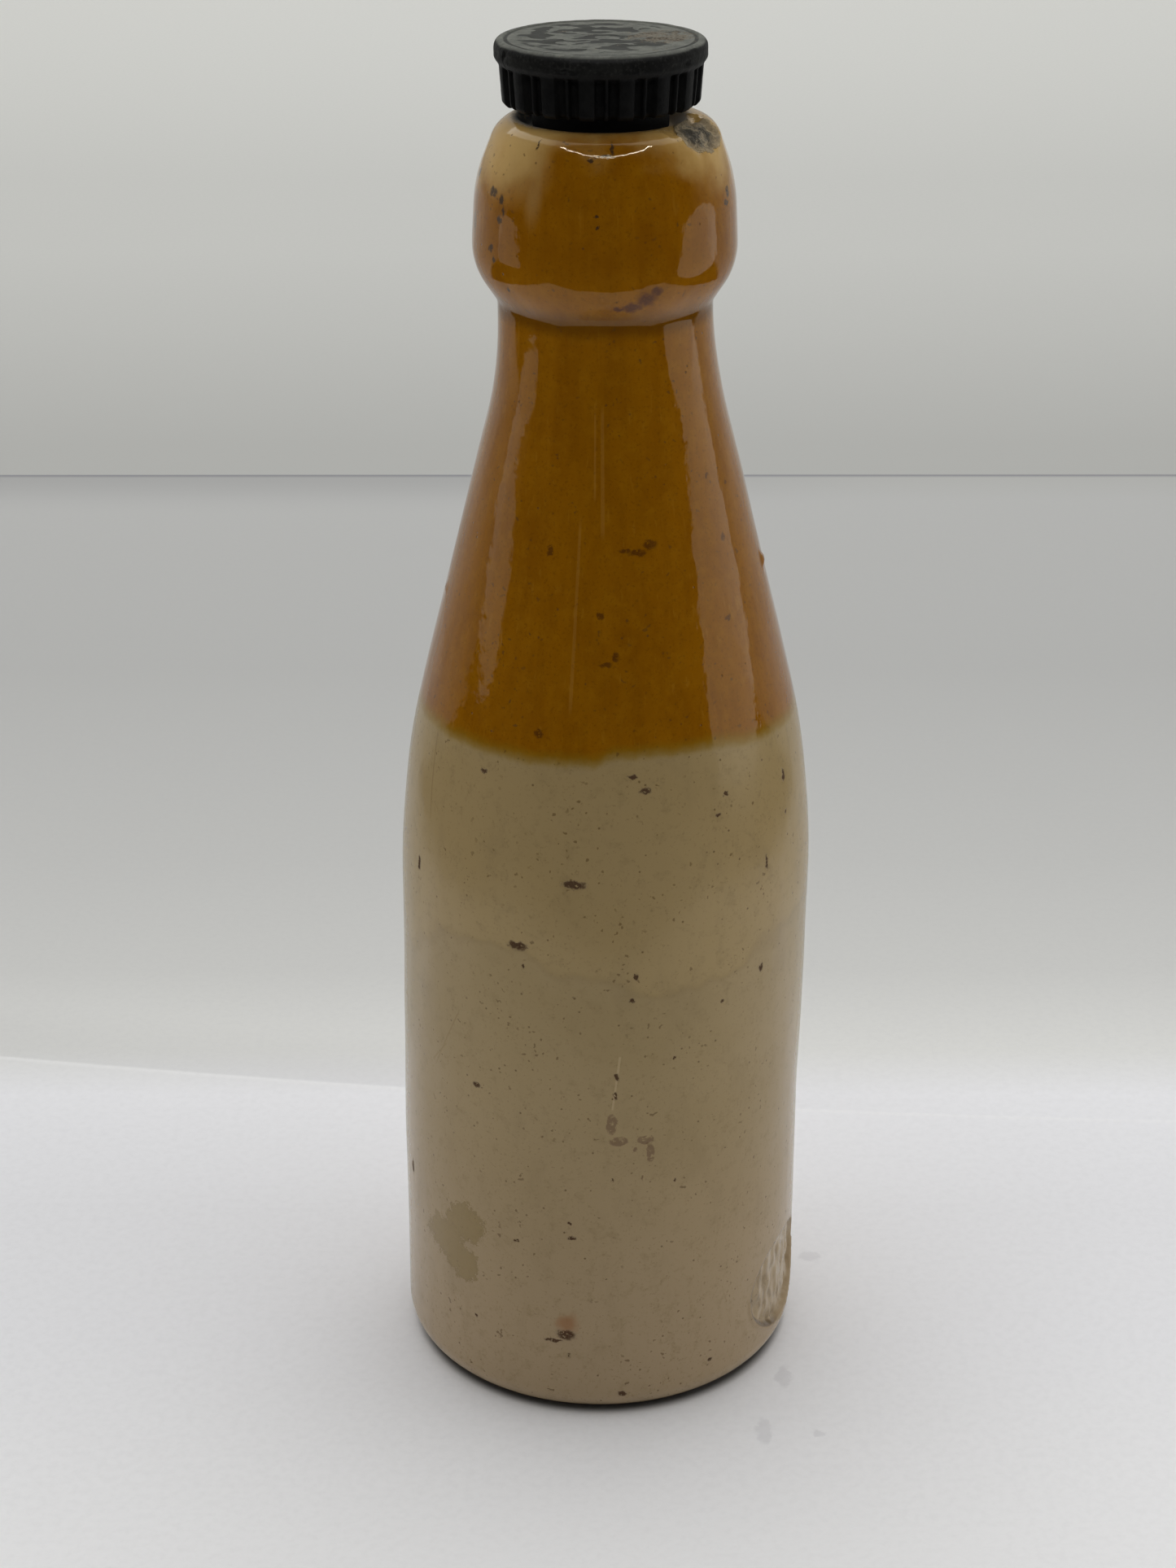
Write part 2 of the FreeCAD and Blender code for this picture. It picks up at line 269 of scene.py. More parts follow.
def stamp_relief(across, up, turn):
    """The sunk floor of the stamp with its worn ridges, and the clay squeezed up round it."""
    side = arc_from(turn, STAMP_TURN, across)
    reach = np.hypot(side / STAMP_HALF_WIDTH, (up - STAMP_HEIGHT) / STAMP_HALF_HEIGHT)
    pressed = 1 - smooth(reach, 0.94, 1.0)
    coarse_ridges = 0.45 * rough(across, up, turn, 1.5, 2.0, 2)
    broad_ridges = 0.25 * rough(across, up, turn, 2.6, 2, 8)
    squeezed = 0.16 - 0.10 * np.sign(up - STAMP_HEIGHT)
    rim = np.exp(-((reach - 1.035) / 0.03) ** 2) * squeezed
    return pressed * (coarse_ridges + broad_ridges - STAMP_DEPTH) + rim


def blister_relief(across, up, turn):
    """Blisters in the glaze, each burst in the middle."""
    height = np.zeros_like(up)
    for blister_turn, blister_up, size, tall in BLISTERS:
        span = np.hypot(arc_from(turn, blister_turn, across), up - blister_up) / size
        height += tall * np.exp(-span ** 2 * 1.4) - tall * 1.1 * np.exp(-(span * 2.6) ** 2)
    return height


def chip_relief(across, up, turn):
    """The clay that a knock took off the rim, with small facets left behind."""
    side = arc_from(turn, CHIP_TURN, across)
    reach = np.hypot(side / CHIP_HALF_WIDTH, (up - CHIP_HEIGHT) / CHIP_HALF_HEIGHT)
    reach += 0.22 * rough(across, up, turn, 1.8, 1, 11)
    broken = 1 - smooth(reach, 0.75, 1.0)
    facets = 0.35 * rough(across, up, turn, 1.3, 1, 3) + 0.22 * rough(across, up, turn, 0.6, 1, 4)
    return broken * (facets - CHIP_DEPTH)


def thread_wave(turn, up, floor):
    """1 in the middle of a right-hand thread's turn and 0 between two turns."""
    share = ((up - floor) / THREAD_PITCH - (turn - np.pi / 2) / (2 * np.pi)) % 1
    offset = np.abs((share + 0.5) % 1 - 0.5) * THREAD_PITCH
    return 1 - smooth(offset, THREAD_HALF_WIDTH * 0.5, THREAD_HALF_WIDTH * 1.25)


# %% How the clay leaves the true turned shape
def shape_bottle(across, up, turn, out_across, out_up):
    """Moves outward, up and sideways. The neck and the seat stay upright, so the stopper fits."""
    outer = is_outside(across, up)
    swell = 0.11 * rough(across, up, turn, 26, 0.6) + 0.07 * rough(across, up, turn, 12, 0.9, 5)
    swell *= smooth(up, 0, 6) * (1 - smooth(up, HEIGHT - 16, HEIGHT - 5))
    for relief in (stamp_relief, blister_relief, chip_relief):
        swell += relief(across, up, turn)
    out = np.where(outer, swell * out_across, 0)
    lift = np.where(outer, swell * out_up, 0)
    groove = thread_wave(turn, up, NECK_FLOOR)
    groove *= smooth(up, NECK_FLOOR, NECK_FLOOR + 1)
    groove *= 1 - smooth(up, MOUTH_FLOOR - 2, MOUTH_FLOOR)
    in_neck = ~outer & (up > 2) & (across < BORE_RADIUS + 0.1)
    out = np.where(in_neck, THREAD_DEPTH * groove, out)
    near_mouth = smooth(up, 150, 180)
    sideways = lean(up) * (1 - near_mouth * (1 - smooth(across, 11.2, 16.0)))
    return out, lift, sideways


# %% Turn the bottle
UNDER_FOOT = 1.3
OUTSIDE_GAPS = [(26, 0.5), (110, 2.6), (134, 2.2), (148, 0.8), (182, 2.2), (HEIGHT + 1, 0.7)]
INSIDE_GAPS = [(150, 7.0), (NECK_FLOOR - 3, 4.0), (HEIGHT - 4, 0.8), (HEIGHT + 1, 0.45)]


def gap_at(rows, up):
    """The gap of the first row that reaches above a height. A row is (up to, gap)."""
    tops, gaps = np.array(rows).T
    return gaps[np.searchsorted(tops, up, side="right")]


def bottle_gap(across, up):
    """How far apart the rings of the mesh may be: close at the stamp, the blisters and the lip."""
    flat_foot = (up < UNDER_FOOT) & (across < BODY_RADIUS - 6)
    on_outside = np.where(flat_foot, 3.0, gap_at(OUTSIDE_GAPS, up))
    return np.where(is_outside(across, up) | (up < UNDER_FOOT), on_outside, gap_at(INSIDE_GAPS, up))


# The side with the stamp and the chip has finer steps than the rest of the way round.
FINE_FROM, FINE_TO = 32, 94
fine_turns = np.arange(FINE_FROM, FINE_TO, 0.5)
plain_turns = np.arange(FINE_TO, FINE_FROM + 360, 1.28)
bottle_turns = np.concatenate([fine_turns, plain_turns])
section = spaced(np.vstack([outside_path, rounded(INSIDE)]), bottle_gap)
bottle = turned("glazed_bottle", section, bottle_turns, shape_bottle)
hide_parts("stoneware_bottle")
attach(bottle, "bottle")
print("bottle:", len(section), "rings of", len(bottle_turns), "points")
print("bottle:", len(bottle.data.polygons), "faces")

# %% [markdown]
# ## The stopper
#
# The stopper was pressed in a mould from rubber cooked with so much sulphur that it set as hard
# as horn. Sixteen broad ribs with a thin fin between them give wet fingers a grip. The coarse
# thread below was moulded in one piece with the head.
#
# The ribs could be blocks set round the head. As the mould made them in one with it, they are a
# rule for how deep the head is cut at each turn, and the mesh has close steps at their edges.

# %% The stopper's section, in millimetres
stopper_low, stopper_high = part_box("screw_stopper")
_, washer_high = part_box("seal_ring")
HEAD_HEIGHT = washer_high[2] / MM
TOP_HEIGHT = stopper_high[2] / MM
TIP_HEIGHT = stopper_low[2] / MM
BEAD_RADIUS = stopper_high[0] / MM
BEAD_HEIGHT = TOP_HEIGHT - 3.5
CORE_RADIUS = 7.5
RING_NECK_FLOOR = HEAD_HEIGHT - 5.3
RING_NECK_DEPTH = 0.5
RIM_GROOVE = BEAD_RADIUS - 1.6
HAIR = 0.02  # the washer clears the seat and the head by this much

STOPPER = [
    (0, TIP_HEIGHT, 0),
    (CORE_RADIUS - 1.3, TIP_HEIGHT, 0.6),
    (CORE_RADIUS, TIP_HEIGHT + 3, 2),
    (CORE_RADIUS, HEAD_HEIGHT, 0.3),  # the shank meets the head
    (14.35, HEAD_HEIGHT, 0.35),
    (14.9, HEAD_HEIGHT + 0.6, 0.6),
    (15.3, BEAD_HEIGHT, 0.25),  # the grip ends under the bead
    (BEAD_RADIUS, BEAD_HEIGHT + 0.9, 0.7),
    (BEAD_RADIUS, TOP_HEIGHT - 0.1, 1.15),
    (RIM_GROOVE + 0.35, TOP_HEIGHT, 0.15),
    (RIM_GROOVE, TOP_HEIGHT - 0.35, 0.15),  # a fine groove just inside the rim
    (RIM_GROOVE - 0.4, TOP_HEIGHT, 0.2),
    (0, TOP_HEIGHT, 0),
]
print("stopper's head:", round(2 * BEAD_RADIUS, 1), "mm across")

# %% The grip, the thread and the wear, with turns in degrees
RIB_COUNT = 16
RIB_PERIOD = 360 / RIB_COUNT
RIB_HALF_TURN = 4.5
FIN_HALF_TURN = 1.15
FIRST_FIN_TURN = 3.15
FLUTE_DEPTH = 1.1
FIN_DROP = 0.25


def grip_depth(up, turn):
    """How deep the flutes between the ribs are, with a low fin left standing in each."""
    phase = np.degrees(turn) - FIRST_FIN_TURN + RIB_PERIOD / 2
    phase = np.abs(phase % RIB_PERIOD - RIB_PERIOD / 2)
    rib_edge = RIB_PERIOD / 2 - RIB_HALF_TURN
    flute = smooth(phase, FIN_HALF_TURN * 0.75, FIN_HALF_TURN * 1.25)
    flute *= 1 - smooth(phase, rib_edge - 0.3, rib_edge + 0.3)
    fin = 1 - smooth(phase, FIN_HALF_TURN, FIN_HALF_TURN * 1.4)
    depth = FLUTE_DEPTH * flute + FIN_DROP * fin
    return depth * (1 - smooth(up, BEAD_HEIGHT - 0.25, BEAD_HEIGHT + 0.05))


def head_wear(across, up, turn):
    """Fine unevenness, nicks along the bead, and low worn relief on the top."""
    worn = 0.05 * rough(across, up, turn, 2.2, 1, 1) + 0.03 * rough(across, up, turn, 0.8, 1, 6)
    nicks = smooth(rough(across, up, turn, 1.5, 1, 9), 0.42, 0.62)
    bead = (up > BEAD_HEIGHT) & (across > RIM_GROOVE + 0.3)
    worn = worn * 0.8 - 0.3 * nicks * bead
    relief = 0.14 * smooth(rough(across, up, turn, 3.4, 1, 14), 0.0, 0.12) * (across < 12.6)
    top = (up > TOP_HEIGHT - 0.4) & (across < RIM_GROOVE - 0.4)
    return worn + top * (relief * smooth(across, 0.5, 3) - 0.12)


def shape_stopper(across, up, turn, out_across, out_up):
    """Wind the thread round the shank, cut the grip, and wear the head."""
    winding = thread_wave(turn, up, NECK_FLOOR)
    winding *= smooth(up, TIP_HEIGHT + 0.4, TIP_HEIGHT + 3.2)
    winding *= 1 - smooth(up, RING_NECK_FLOOR - 0.8, RING_NECK_FLOOR)
    shank = (up < HEAD_HEIGHT - HAIR) & (across > CORE_RADIUS - 2)
    waist = smooth(up, RING_NECK_FLOOR - 0.2, RING_NECK_FLOOR) * shank
    out = np.where(shank, THREAD_DEPTH * 0.93 * winding, 0) - RING_NECK_DEPTH * waist
    head = up > HEAD_HEIGHT - HAIR
    grip = head & (up < BEAD_HEIGHT + 0.05) & (across > 13)
    out = np.where(grip, -grip_depth(up, turn), out)
    worn = head_wear(across, up, turn) * head
    return out + worn * out_across, worn * out_up, np.zeros_like(up)


# %% Turn the stopper
RIB_STEPS = np.array([
    -4.7, -4.3, -3.9, 0, 3.9, 4.3, 4.7, 6.5,
    9.7, 10.1, 10.5, 11.25, 12.0, 12.4, 12.8, 15.6,
])


def stopper_gap(across, up):
    """How far apart the rings of the stopper's mesh may be."""
    top = (up > TOP_HEIGHT - 0.5) & (across < RIM_GROOVE - 0.5)
    return np.where(top, 0.5, np.where(up > HEAD_HEIGHT - 0.05, 0.22, 0.32))


# The steps start at the middle of a rib, and crowd where its edges and the fin's edges are.
rib_middles = FIRST_FIN_TURN + RIB_PERIOD * (np.arange(RIB_COUNT) + 0.5)
stopper_turns = (rib_middles[:, None] + RIB_STEPS).ravel()
stopper_path = spaced(rounded(STOPPER, 10), stopper_gap)
stopper = turned("hard_rubber_stopper", stopper_path, stopper_turns, shape_stopper)
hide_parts("screw_stopper")
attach(stopper, "stopper")
print("stopper:", len(stopper.data.polygons), "faces")

# %% [markdown]
# ## The washer
#
# A ring of soft rubber sits in a groove under the head. Screwed down for years it has set in its
# squeezed shape, so its side bulges a little and its skin has begun to perish. A torus would be
# too round for it, so it is turned like the others, from a section that closes on itself.

# %% Turn the washer
WASHER_BORE = 7.1
WASHER_RADIUS = washer_high[0] / MM
WASHER_FLOOR = SEAT_HEIGHT + HAIR
WASHER_TOP = HEAD_HEIGHT - HAIR
WASHER = [
    (WASHER_BORE, WASHER_FLOOR, 0.2),
    (WASHER_RADIUS - 0.1, WASHER_FLOOR, 0.6),
    (WASHER_RADIUS, (SEAT_HEIGHT + HEAD_HEIGHT) / 2, 3),
    (WASHER_RADIUS - 0.1, WASHER_TOP, 0.6),
    (WASHER_BORE, WASHER_TOP, 0.2),
]


def shape_washer(across, up, turn, out_across, out_up):
    """Perished rubber: fine unevenness that leaves the seat and the head alone."""
    middle = 1 - np.abs(2 * (up - SEAT_HEIGHT) / (HEAD_HEIGHT - SEAT_HEIGHT) - 1) ** 4
    skin = 0.05 * rough(across, up, turn, 1.5, 0.6) * (across > 8) * middle
    return skin, np.zeros_like(up), np.zeros_like(up)


def washer_gap(across, up):
    """The rings of the washer's mesh are evenly spaced."""
    return np.full_like(across, 0.25)


ring_path = spaced(rounded(WASHER + WASHER[:1], 8), washer_gap)[:-1]
ring = turned("perished_washer", ring_path, np.arange(0, 360, 2.5), shape_washer, closed=True)
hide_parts("seal_ring")
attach(ring, "washer")
print("washer:", len(ring.data.polygons), "faces")

# %% [markdown]
# ## Materials out of nodes
#
# A material is a recipe of small steps, such as noise, a threshold or a mix. Written as node
# calls it is hard to read, so one small class lets the outputs of nodes be added and multiplied
# like numbers. Its method called node adds every other kind.

# %% A node output that behaves like a number
class Flow:
    """One output of a material's nodes."""

    def __init__(self, tree, socket=None):
        self.tree = tree
        self.socket = socket

    def node(self, kind, inputs, output=0, **settings):
        """Add a node, set its options, feed its inputs, and return one of its outputs."""
        made = self.tree.nodes.new(kind)
        for option, choice in settings.items():
            setattr(made, option, choice)
        for place, feed in inputs.items():
            if isinstance(feed, Flow):
                self.tree.links.new(feed.socket, made.inputs[place])
            else:
                made.inputs[place].default_value = feed
        return Flow(self.tree, made.outputs[output])

    def maths(self, operation, first, second=0):
        """Add a node that does one sum."""
        return self.node("ShaderNodeMath", {0: first, 1: second}, operation=operation)

    def __add__(self, other):
        return self.maths("ADD", self, other)

    def __sub__(self, other):
        return self.maths("SUBTRACT", self, other)

    def __rsub__(self, other):
        return self.maths("SUBTRACT", other, self)

    def __mul__(self, other):
        return self.maths("MULTIPLY", self, other)

    __radd__ = __add__
    __rmul__ = __mul__

    def rise(self, start, end, manner="SMOOTHSTEP"):
        """Go from 0 to 1 as this value goes from start to end."""
        places = {"Value": self, "From Min": start, "From Max": end}
        return self.node("ShaderNodeMapRange", places, interpolation_type=manner)

    def most(self, other):
        """The larger of two."""
        return self.maths("MAXIMUM", self, other)

    def least(self, other):
        """The smaller of two."""
        return self.maths("MINIMUM", self, other)

    def absolute(self):
        """The same distance from 0, without its sign."""
        return self.maths("ABSOLUTE", self)


# %% Helpers for places and colours
def vector_maths(first, operation, second, output=0):
    """Add a node that does one sum on places."""
    return first.node("ShaderNodeVectorMath", {0: first, 1: second}, output, operation=operation)


def length(vector):
    """How long a vector is, as one number."""
    return vector_maths(vector, "LENGTH", (0, 0, 0), "Value")


def squashed(where, x, y, z):
    """Scale places along each axis, which stretches what is drawn there the other way."""
    return vector_maths(where, "MULTIPLY", (x, y, z))


def from_axis(where):
    """How far a place is from the middle line of the bottle, in millimetres."""
    return length(squashed(where, 1, 1, 0)) * (1 / MM)


def parts(vector):
    """The x, y and z of a vector."""
    first = vector.node("ShaderNodeSeparateXYZ", {"Vector": vector})
    return [Flow(vector.tree, socket) for socket in first.socket.node.outputs]


def mixed(amount, first, second):
    """Go from the first colour to the second."""
    places = {"Factor": amount, 6: first, 7: second}
    return amount.node("ShaderNodeMix", places, 2, data_type="RGBA")


def clouds(where, size, detail=3, rough_share=0.5):
    """Soft noise around 0.5, in lumps of the given size in millimetres."""
    places = {"Vector": where, "Scale": 1 / (size * MM), "Detail": detail, "Roughness": rough_share}
    return where.node("ShaderNodeTexNoise", places)


# %% Helpers for materials
def new_material(name):
    """Return a material's shader, and the place on the object as a flow in metres."""
    material = bpy.data.materials.new(name)
    material.use_nodes = True
    shader = material.node_tree.nodes["Principled BSDF"]
    start = Flow(material.node_tree)
    where = start.node("ShaderNodeTexCoord", {}, "Object")
    return material, shader, where


def feed(shader, **inputs):
    """Feed flows or plain numbers to a shader's sockets. Spaces are written as underscores."""
    tree = shader.id_data
    for name, value in inputs.items():
        socket = shader.inputs[name.replace("_", " ")]
        if isinstance(value, Flow):
            tree.links.new(value.socket, socket)
        else:
            socket.default_value = value


def bump(height, distance, strength=1.0, under=None):
    """Turn a height between 0 and 1 into a bumpy normal, with distance in millimetres."""
    places = {"Height": height, "Distance": distance * MM, "Strength": strength}
    if under is not None:
        places["Normal"] = under
    return height.node("ShaderNodeBump", places)


# %% [markdown]
# ## Two glazes
#
# Both glazes lie on the same buff clay. Iron in the clay bleeds through as brown specks, dirt
# sits in pits that opened in the kiln, and the ochre glaze goes pale where it ran thin on the
# rim.
#
# The marks could be painted on a picture and wrapped round the bottle. Here they are nodes, so
# they stay sharp however near the camera comes, and each one is a row of numbers to change.
#
# To draw a mark where it belongs, the wall is unrolled: every place on it is a turn from the
# front in degrees and a height in millimetres. A mark is a turn, a height, and half its width
# and height. A stroke is both its ends and half its width.

# %% Dark marks that the kiln and a long life left
KILN_MARKS = [
    # kiln marks
    (-8.7, 100.1, 1.9, 0.7), (-24.2, 88.4, 1.7, 0.7), (-22.6, 84.9, 0.3, 0.3),
    # iron spots
    (-9.6, 16.3, 1.5, 0.9),
    # a smear
    (-13.5, 15.0, 1.5, 0.3),
    # smudges
    (10.7, 115.2, 0.9, 0.5), (7.2, 117.4, 0.8, 0.35),
    # pits
    (-38.0, 115.8, 0.55, 0.35), (35.9, 112.5, 0.5, 0.4), (32.7, 109.4, 0.45, 0.35),
    (61.4, 111.0, 0.4, 1.1), (60.6, 104.8, 0.3, 0.5), (49.6, 98.7, 0.25, 1.2),
    (-63.8, 95.1, 0.4, 1.2), (7.2, 80.1, 0.4, 0.5), (8.2, 84.2, 0.3, 0.6),
    (33.9, 77.0, 0.45, 0.35), (48.0, 80.3, 0.4, 0.8), (19.6, 68.7, 0.3, 0.3),
    (3.7, 66.1, 0.4, 0.6), (3.4, 62.8, 0.35, 0.8), (-37.5, 60.8, 0.8, 0.5),
    (20.7, 45.7, 0.35, 0.35), (3.3, 46.9, 0.3, 0.3), (-8.0, 35.5, 0.7, 0.3),
    (-8.5, 38.3, 0.3, 0.3), (-24.2, 33.3, 0.4, 0.3), (-71.9, 35.0, 0.5, 1.2),
    (-38.2, 15.6, 0.4, 0.3), (33.4, 7.9, 0.4, 0.3), (6.3, 4.6, 0.8, 0.5),
    (-8.8, 12.2, 0.3, 0.3),
    # iron spots
    (-21.0, 123.4, 0.7, 0.7), (-2.6, 141.6, 0.5, 0.5), (-22.8, 150.8, 0.45, 0.9),
    (51.5, 150.6, 0.6, 0.6), (47.6, 160.3, 0.3, 0.4), (46.6, 138.6, 0.6, 0.5),
    # scars
    (6.5, 151.2, 1.0, 0.3), (11.5, 150.8, 1.3, 0.45), (16.5, 151.9, 1.0, 0.7),
    # burst blisters
    (-0.6, 134.4, 1.0, 0.4), (2.4, 135.6, 0.5, 0.8),
]
LIP_PITS = [
    # cracks in the rim
    (2.6, 210.6, 0.25, 0.8), (-1.2, 209.6, 1.3, 0.2), (-7.8, 209.2, 0.5, 0.2),
    (-36.7, 210.5, 0.2, 0.7),
    # pitting
    (-58.3, 203.0, 0.9, 0.7), (-51.3, 202.2, 0.5, 0.7), (-49.5, 200.7, 0.3, 0.8),
    (-51.8, 199.3, 0.5, 0.5), (-57.0, 194.8, 0.6, 0.6), (-54.7, 193.3, 0.4, 0.5),
    (-80.1, 204.4, 0.7, 0.8), (-76.8, 197.3, 0.6, 1.5), (-78.0, 190.0, 0.5, 1.0),
    (68.0, 202.4, 0.5, 0.9), (65.1, 200.9, 0.8, 0.4),
    # iron spots
    (-4.1, 201.5, 0.3, 0.3), (-3.1, 200.0, 0.3, 0.3), (-48.0, 189.0, 0.35, 0.35),
]
PURPLE_MARKS = [
    # bloom
    (6.2, 187.4, 1.0, 0.45), (12.0, 187.7, 1.6, 0.75), (18.5, 189.0, 1.5, 1.1),
    (22.5, 190.1, 0.9, 0.7),
]
print("dark marks:", len(KILN_MARKS) + len(LIP_PITS) + len(PURPLE_MARKS))

# %% Stains, worn patches and fine strokes
SPILL = [
    (-42.0, 33.0, 4.6, 3.6), (-50.5, 28.0, 5.0, 4.0), (-44.0, 25.0, 3.8, 3.6),
]
WORN_PATCHES = [
    (2.6, 57.4, 0.9, 1.8), (4.4, 54.2, 1.5, 0.9), (9.3, 52.5, 0.4, 0.5),
    (12.0, 54.2, 1.3, 0.8), (13.6, 51.6, 0.7, 1.7),
]
PALE_STROKES = [
    # healed cracks
    (4.4, 70.1, 3.7, 66.0, 0.13), (3.7, 66.0, 2.6, 59.8, 0.11),
]
THROWN_LINES = [
    (-11.3, 156.7, -11.6, 126.0, 0.14), (-2.6, 172.9, -2.1, 152.3, 0.16),
    (-6.2, 172.0, -5.6, 158.0, 0.10),
]
DARK_STROKES = [
    # scratches
    (-60.9, 119.0, -58.6, 103.7, 0.11), (-43.5, 73.6, -54.7, 60.2, 0.09),
    (-49.0, 66.0, -56.0, 61.0, 0.09),
]
OCHRE_LINE = 119.4
print("strokes:", len(PALE_STROKES) + len(THROWN_LINES) + len(DARK_STROKES))

# %% Find a mark on the unrolled wall
def unrolled(where):
    """Lay the wall out flat: the turn in degrees, the height in millimetres, and 0."""
    x, y, z = parts(where)
    turn = x.maths("ARCTAN2", x, y * -1) * (180 / math.pi)
    return where.node("ShaderNodeCombineXYZ", {"X": turn, "Y": z * (1 / MM)})


def bent(where, size, amount):
    """Shift places about by soft noise, so that what is drawn there gets ragged edges."""
    places = {"Vector": where, "Scale": 1 / (size * MM), "Detail": 4}
    colour = where.node("ShaderNodeTexNoise", places, "Color")
    shift = vector_maths(colour, "SUBTRACT", (0.5, 0.5, 0.5))
    return vector_maths(where, "ADD", vector_maths(shift, "MULTIPLY", (amount * MM,) * 3))


def flat_place(turn, up):
    """Where a mark lands on the unrolled wall, and how many millimetres a degree is there."""
    point = on_wall(turn, up)
    return math.degrees(math.atan2(point.x, -point.y)), math.radians(point.xy.length) / MM


def reach_of(flat, marks):
    """Below 1 inside the nearest mark, 1 on its edge, and more outside."""
    nearest = None
    for turn, up, half_width, half_height in marks:
        flat_turn, degree = flat_place(turn, up)
        scale = (degree / half_width, 1 / half_height, 0)
        shift = (-flat_turn * degree / half_width, -up / half_height, 0)
        places = {0: flat, 1: scale, 2: shift}
        reach = length(flat.node("ShaderNodeVectorMath", places, operation="MULTIPLY_ADD"))
        nearest = reach if nearest is None else nearest.least(reach)
    return nearest


def marks_on(flat, marks, edge=0.35):
    """1 inside the marks and 0 outside, with an edge that is wider for a larger number."""
    return 1 - reach_of(flat, marks).rise(1 - edge, 1 + edge)


def apart_from(flat, middle, way, degree):
    """How far a place lies from a middle in one direction, in millimetres."""
    flat_way = (way.x * degree, way.y, 0)
    return (vector_maths(flat, "DOT_PRODUCT", flat_way, "Value") - way.dot(middle)).absolute()


def strokes_on(flat, strokes):
    """1 on thin straight strokes, each from one turn and height to another."""
    total = None
    for first_turn, first_up, last_turn, last_up, half_width in strokes:
        first_flat, degree = flat_place(first_turn, first_up)
        last_flat, _ = flat_place(last_turn, last_up)
        run = Vector(((last_flat - first_flat) * degree, last_up - first_up))
        along, across = run.normalized(), run.normalized().orthogonal()
        middle = Vector(((last_flat + first_flat) * degree, last_up + first_up)) / 2
        near = 1 - apart_from(flat, middle, across, degree).rise(half_width, half_width * 2)
        ahead = apart_from(flat, middle, along, degree).rise(run.length * 0.4, run.length * 0.5)
        stroke = near * (1 - ahead)
        total = stroke if total is None else total.most(stroke)
    return total


# %% The pale glaze
CREAM = (0.310, 0.226, 0.106, 1)
PALE_CREAM = (0.336, 0.248, 0.124, 1)
GREY_CREAM = (0.370, 0.272, 0.172, 1)
YELLOW_CREAM = (0.365, 0.258, 0.108, 1)
TIDE_LINE = (0.22, 0.15, 0.065, 1)
GRIME = (0.24, 0.172, 0.08, 1)
GRIT = (0.21, 0.145, 0.065, 1)
HAZE = (0.23, 0.165, 0.08, 1)


def pale_glaze(where, flat):
    """Cream, greyer near the foot and yellower above a wavy tide line, with fine grime."""
    _, up, _ = parts(flat)
    colour = mixed(clouds(where, 30, 4).rise(0.35, 0.68), CREAM, PALE_CREAM)
    colour = mixed((1 - up.rise(5, 75)) * 0.7, colour, GREY_CREAM)
    tide = up + (clouds(where, 26, 3) - 0.5) * 44
    colour = mixed(tide.rise(86, 87.5) * 0.45, colour, YELLOW_CREAM)
    shore = tide.rise(84.5, 86.5) * (1 - tide.rise(86.5, 88.5))
    colour = mixed(shore * 0.22, colour, TIDE_LINE)
    colour = mixed(clouds(where, 2.2, 5, 0.65).rise(0.48, 0.75) * 0.45, colour, GRIME)
    colour = mixed(clouds(where, 0.55, 3, 0.7).rise(0.56, 0.74) * 0.45, colour, GRIT)
    haze = clouds(squashed(where, 1, 1, 0.5), 7, 5, 0.6)
    return mixed(haze.rise(0.52, 0.75) * 0.3, colour, HAZE)


# %% The ochre glaze
OCHRE = (0.255, 0.096, 0.0010, 1)
DEEP_OCHRE = (0.215, 0.077, 0.0006, 1)
LIGHT_OCHRE = (0.290, 0.122, 0.003, 1)
OCHRE_HAIR_SHEEN = (0.33, 0.155, 0.015, 1)
POOLED_OCHRE = (0.185, 0.062, 0.0005, 1)
OCHRE_GRAIN = (0.13, 0.044, 0.001, 1)
THROWN_LINE = (0.38, 0.20, 0.04, 1)
DRAINED_LIP = (0.54, 0.35, 0.115, 1)
DRIP = (0.42, 0.28, 0.11, 1)
PAINTED_CREASE_SHADE = (0.07, 0.026, 0.002, 1)
DRIPS = [(-33.5, 205.5, 1.4, 5.0), (-42.0, 207.0, 4.0, 4.0)]


def ochre_glaze(where, flat):
    """Deep where it pooled, streaked where it ran down, and pale where it is thin on the lip, with
    painted sheen in fine pale hairs and painted shade in the crease under the lip.
    """
    turn, up, _ = parts(flat)
    streaks = clouds(squashed(where, 1, 1, 0.06), 3.5, 4, 0.6)
    colour = mixed(streaks.rise(0.32, 0.7), OCHRE, DEEP_OCHRE)
    colour = mixed(clouds(where, 2.2, 4, 0.6).rise(0.4, 0.8) * 0.6, colour, LIGHT_OCHRE)
    # Painted sheen: fine pale hairs down the glaze, where the throwing lines catch the light.
    hair_sheen = clouds(squashed(where, 1, 1, 0.03), 0.9, 3, 0.6)
    colour = mixed(hair_sheen.rise(0.6, 0.72) * 0.3, colour, OCHRE_HAIR_SHEEN)
    pool = up.rise(190, 197) * (1 - up.rise(201, 208)) * clouds(where, 9, 3).rise(0.35, 0.6)
    colour = mixed(pool * 0.45, colour, POOLED_OCHRE)
    colour = mixed(clouds(where, 0.45, 2, 0.6).rise(0.52, 0.78) * 0.5, colour, OCHRE_GRAIN)
    colour = mixed(strokes_on(flat, THROWN_LINES) * 0.22, colour, THROWN_LINE)
    drained = up + (clouds(where, 8, 4) - 0.5) * 12 + turn.absolute().rise(15, 60) * 7
    colour = mixed(drained.rise(208, 216) * 0.9, colour, DRAINED_LIP)
    colour = mixed(marks_on(flat, DRIPS, 0.6) * 0.35, colour, DRIP)
    # Painted shade: the glaze is darkened in the crease under the lip, where the blob above hides
    # the light.
    crease = up + (clouds(where, 5, 3) - 0.5) * 1.2
    shade_under_lip = crease.rise(181.5, 184) * (1 - crease.rise(184.6, 187.5))
    return mixed(shade_under_lip * 0.6, colour, PAINTED_CREASE_SHADE)


# %% Where one glaze laps over the other
OLIVE_EDGE = (0.235, 0.145, 0.012, 1)


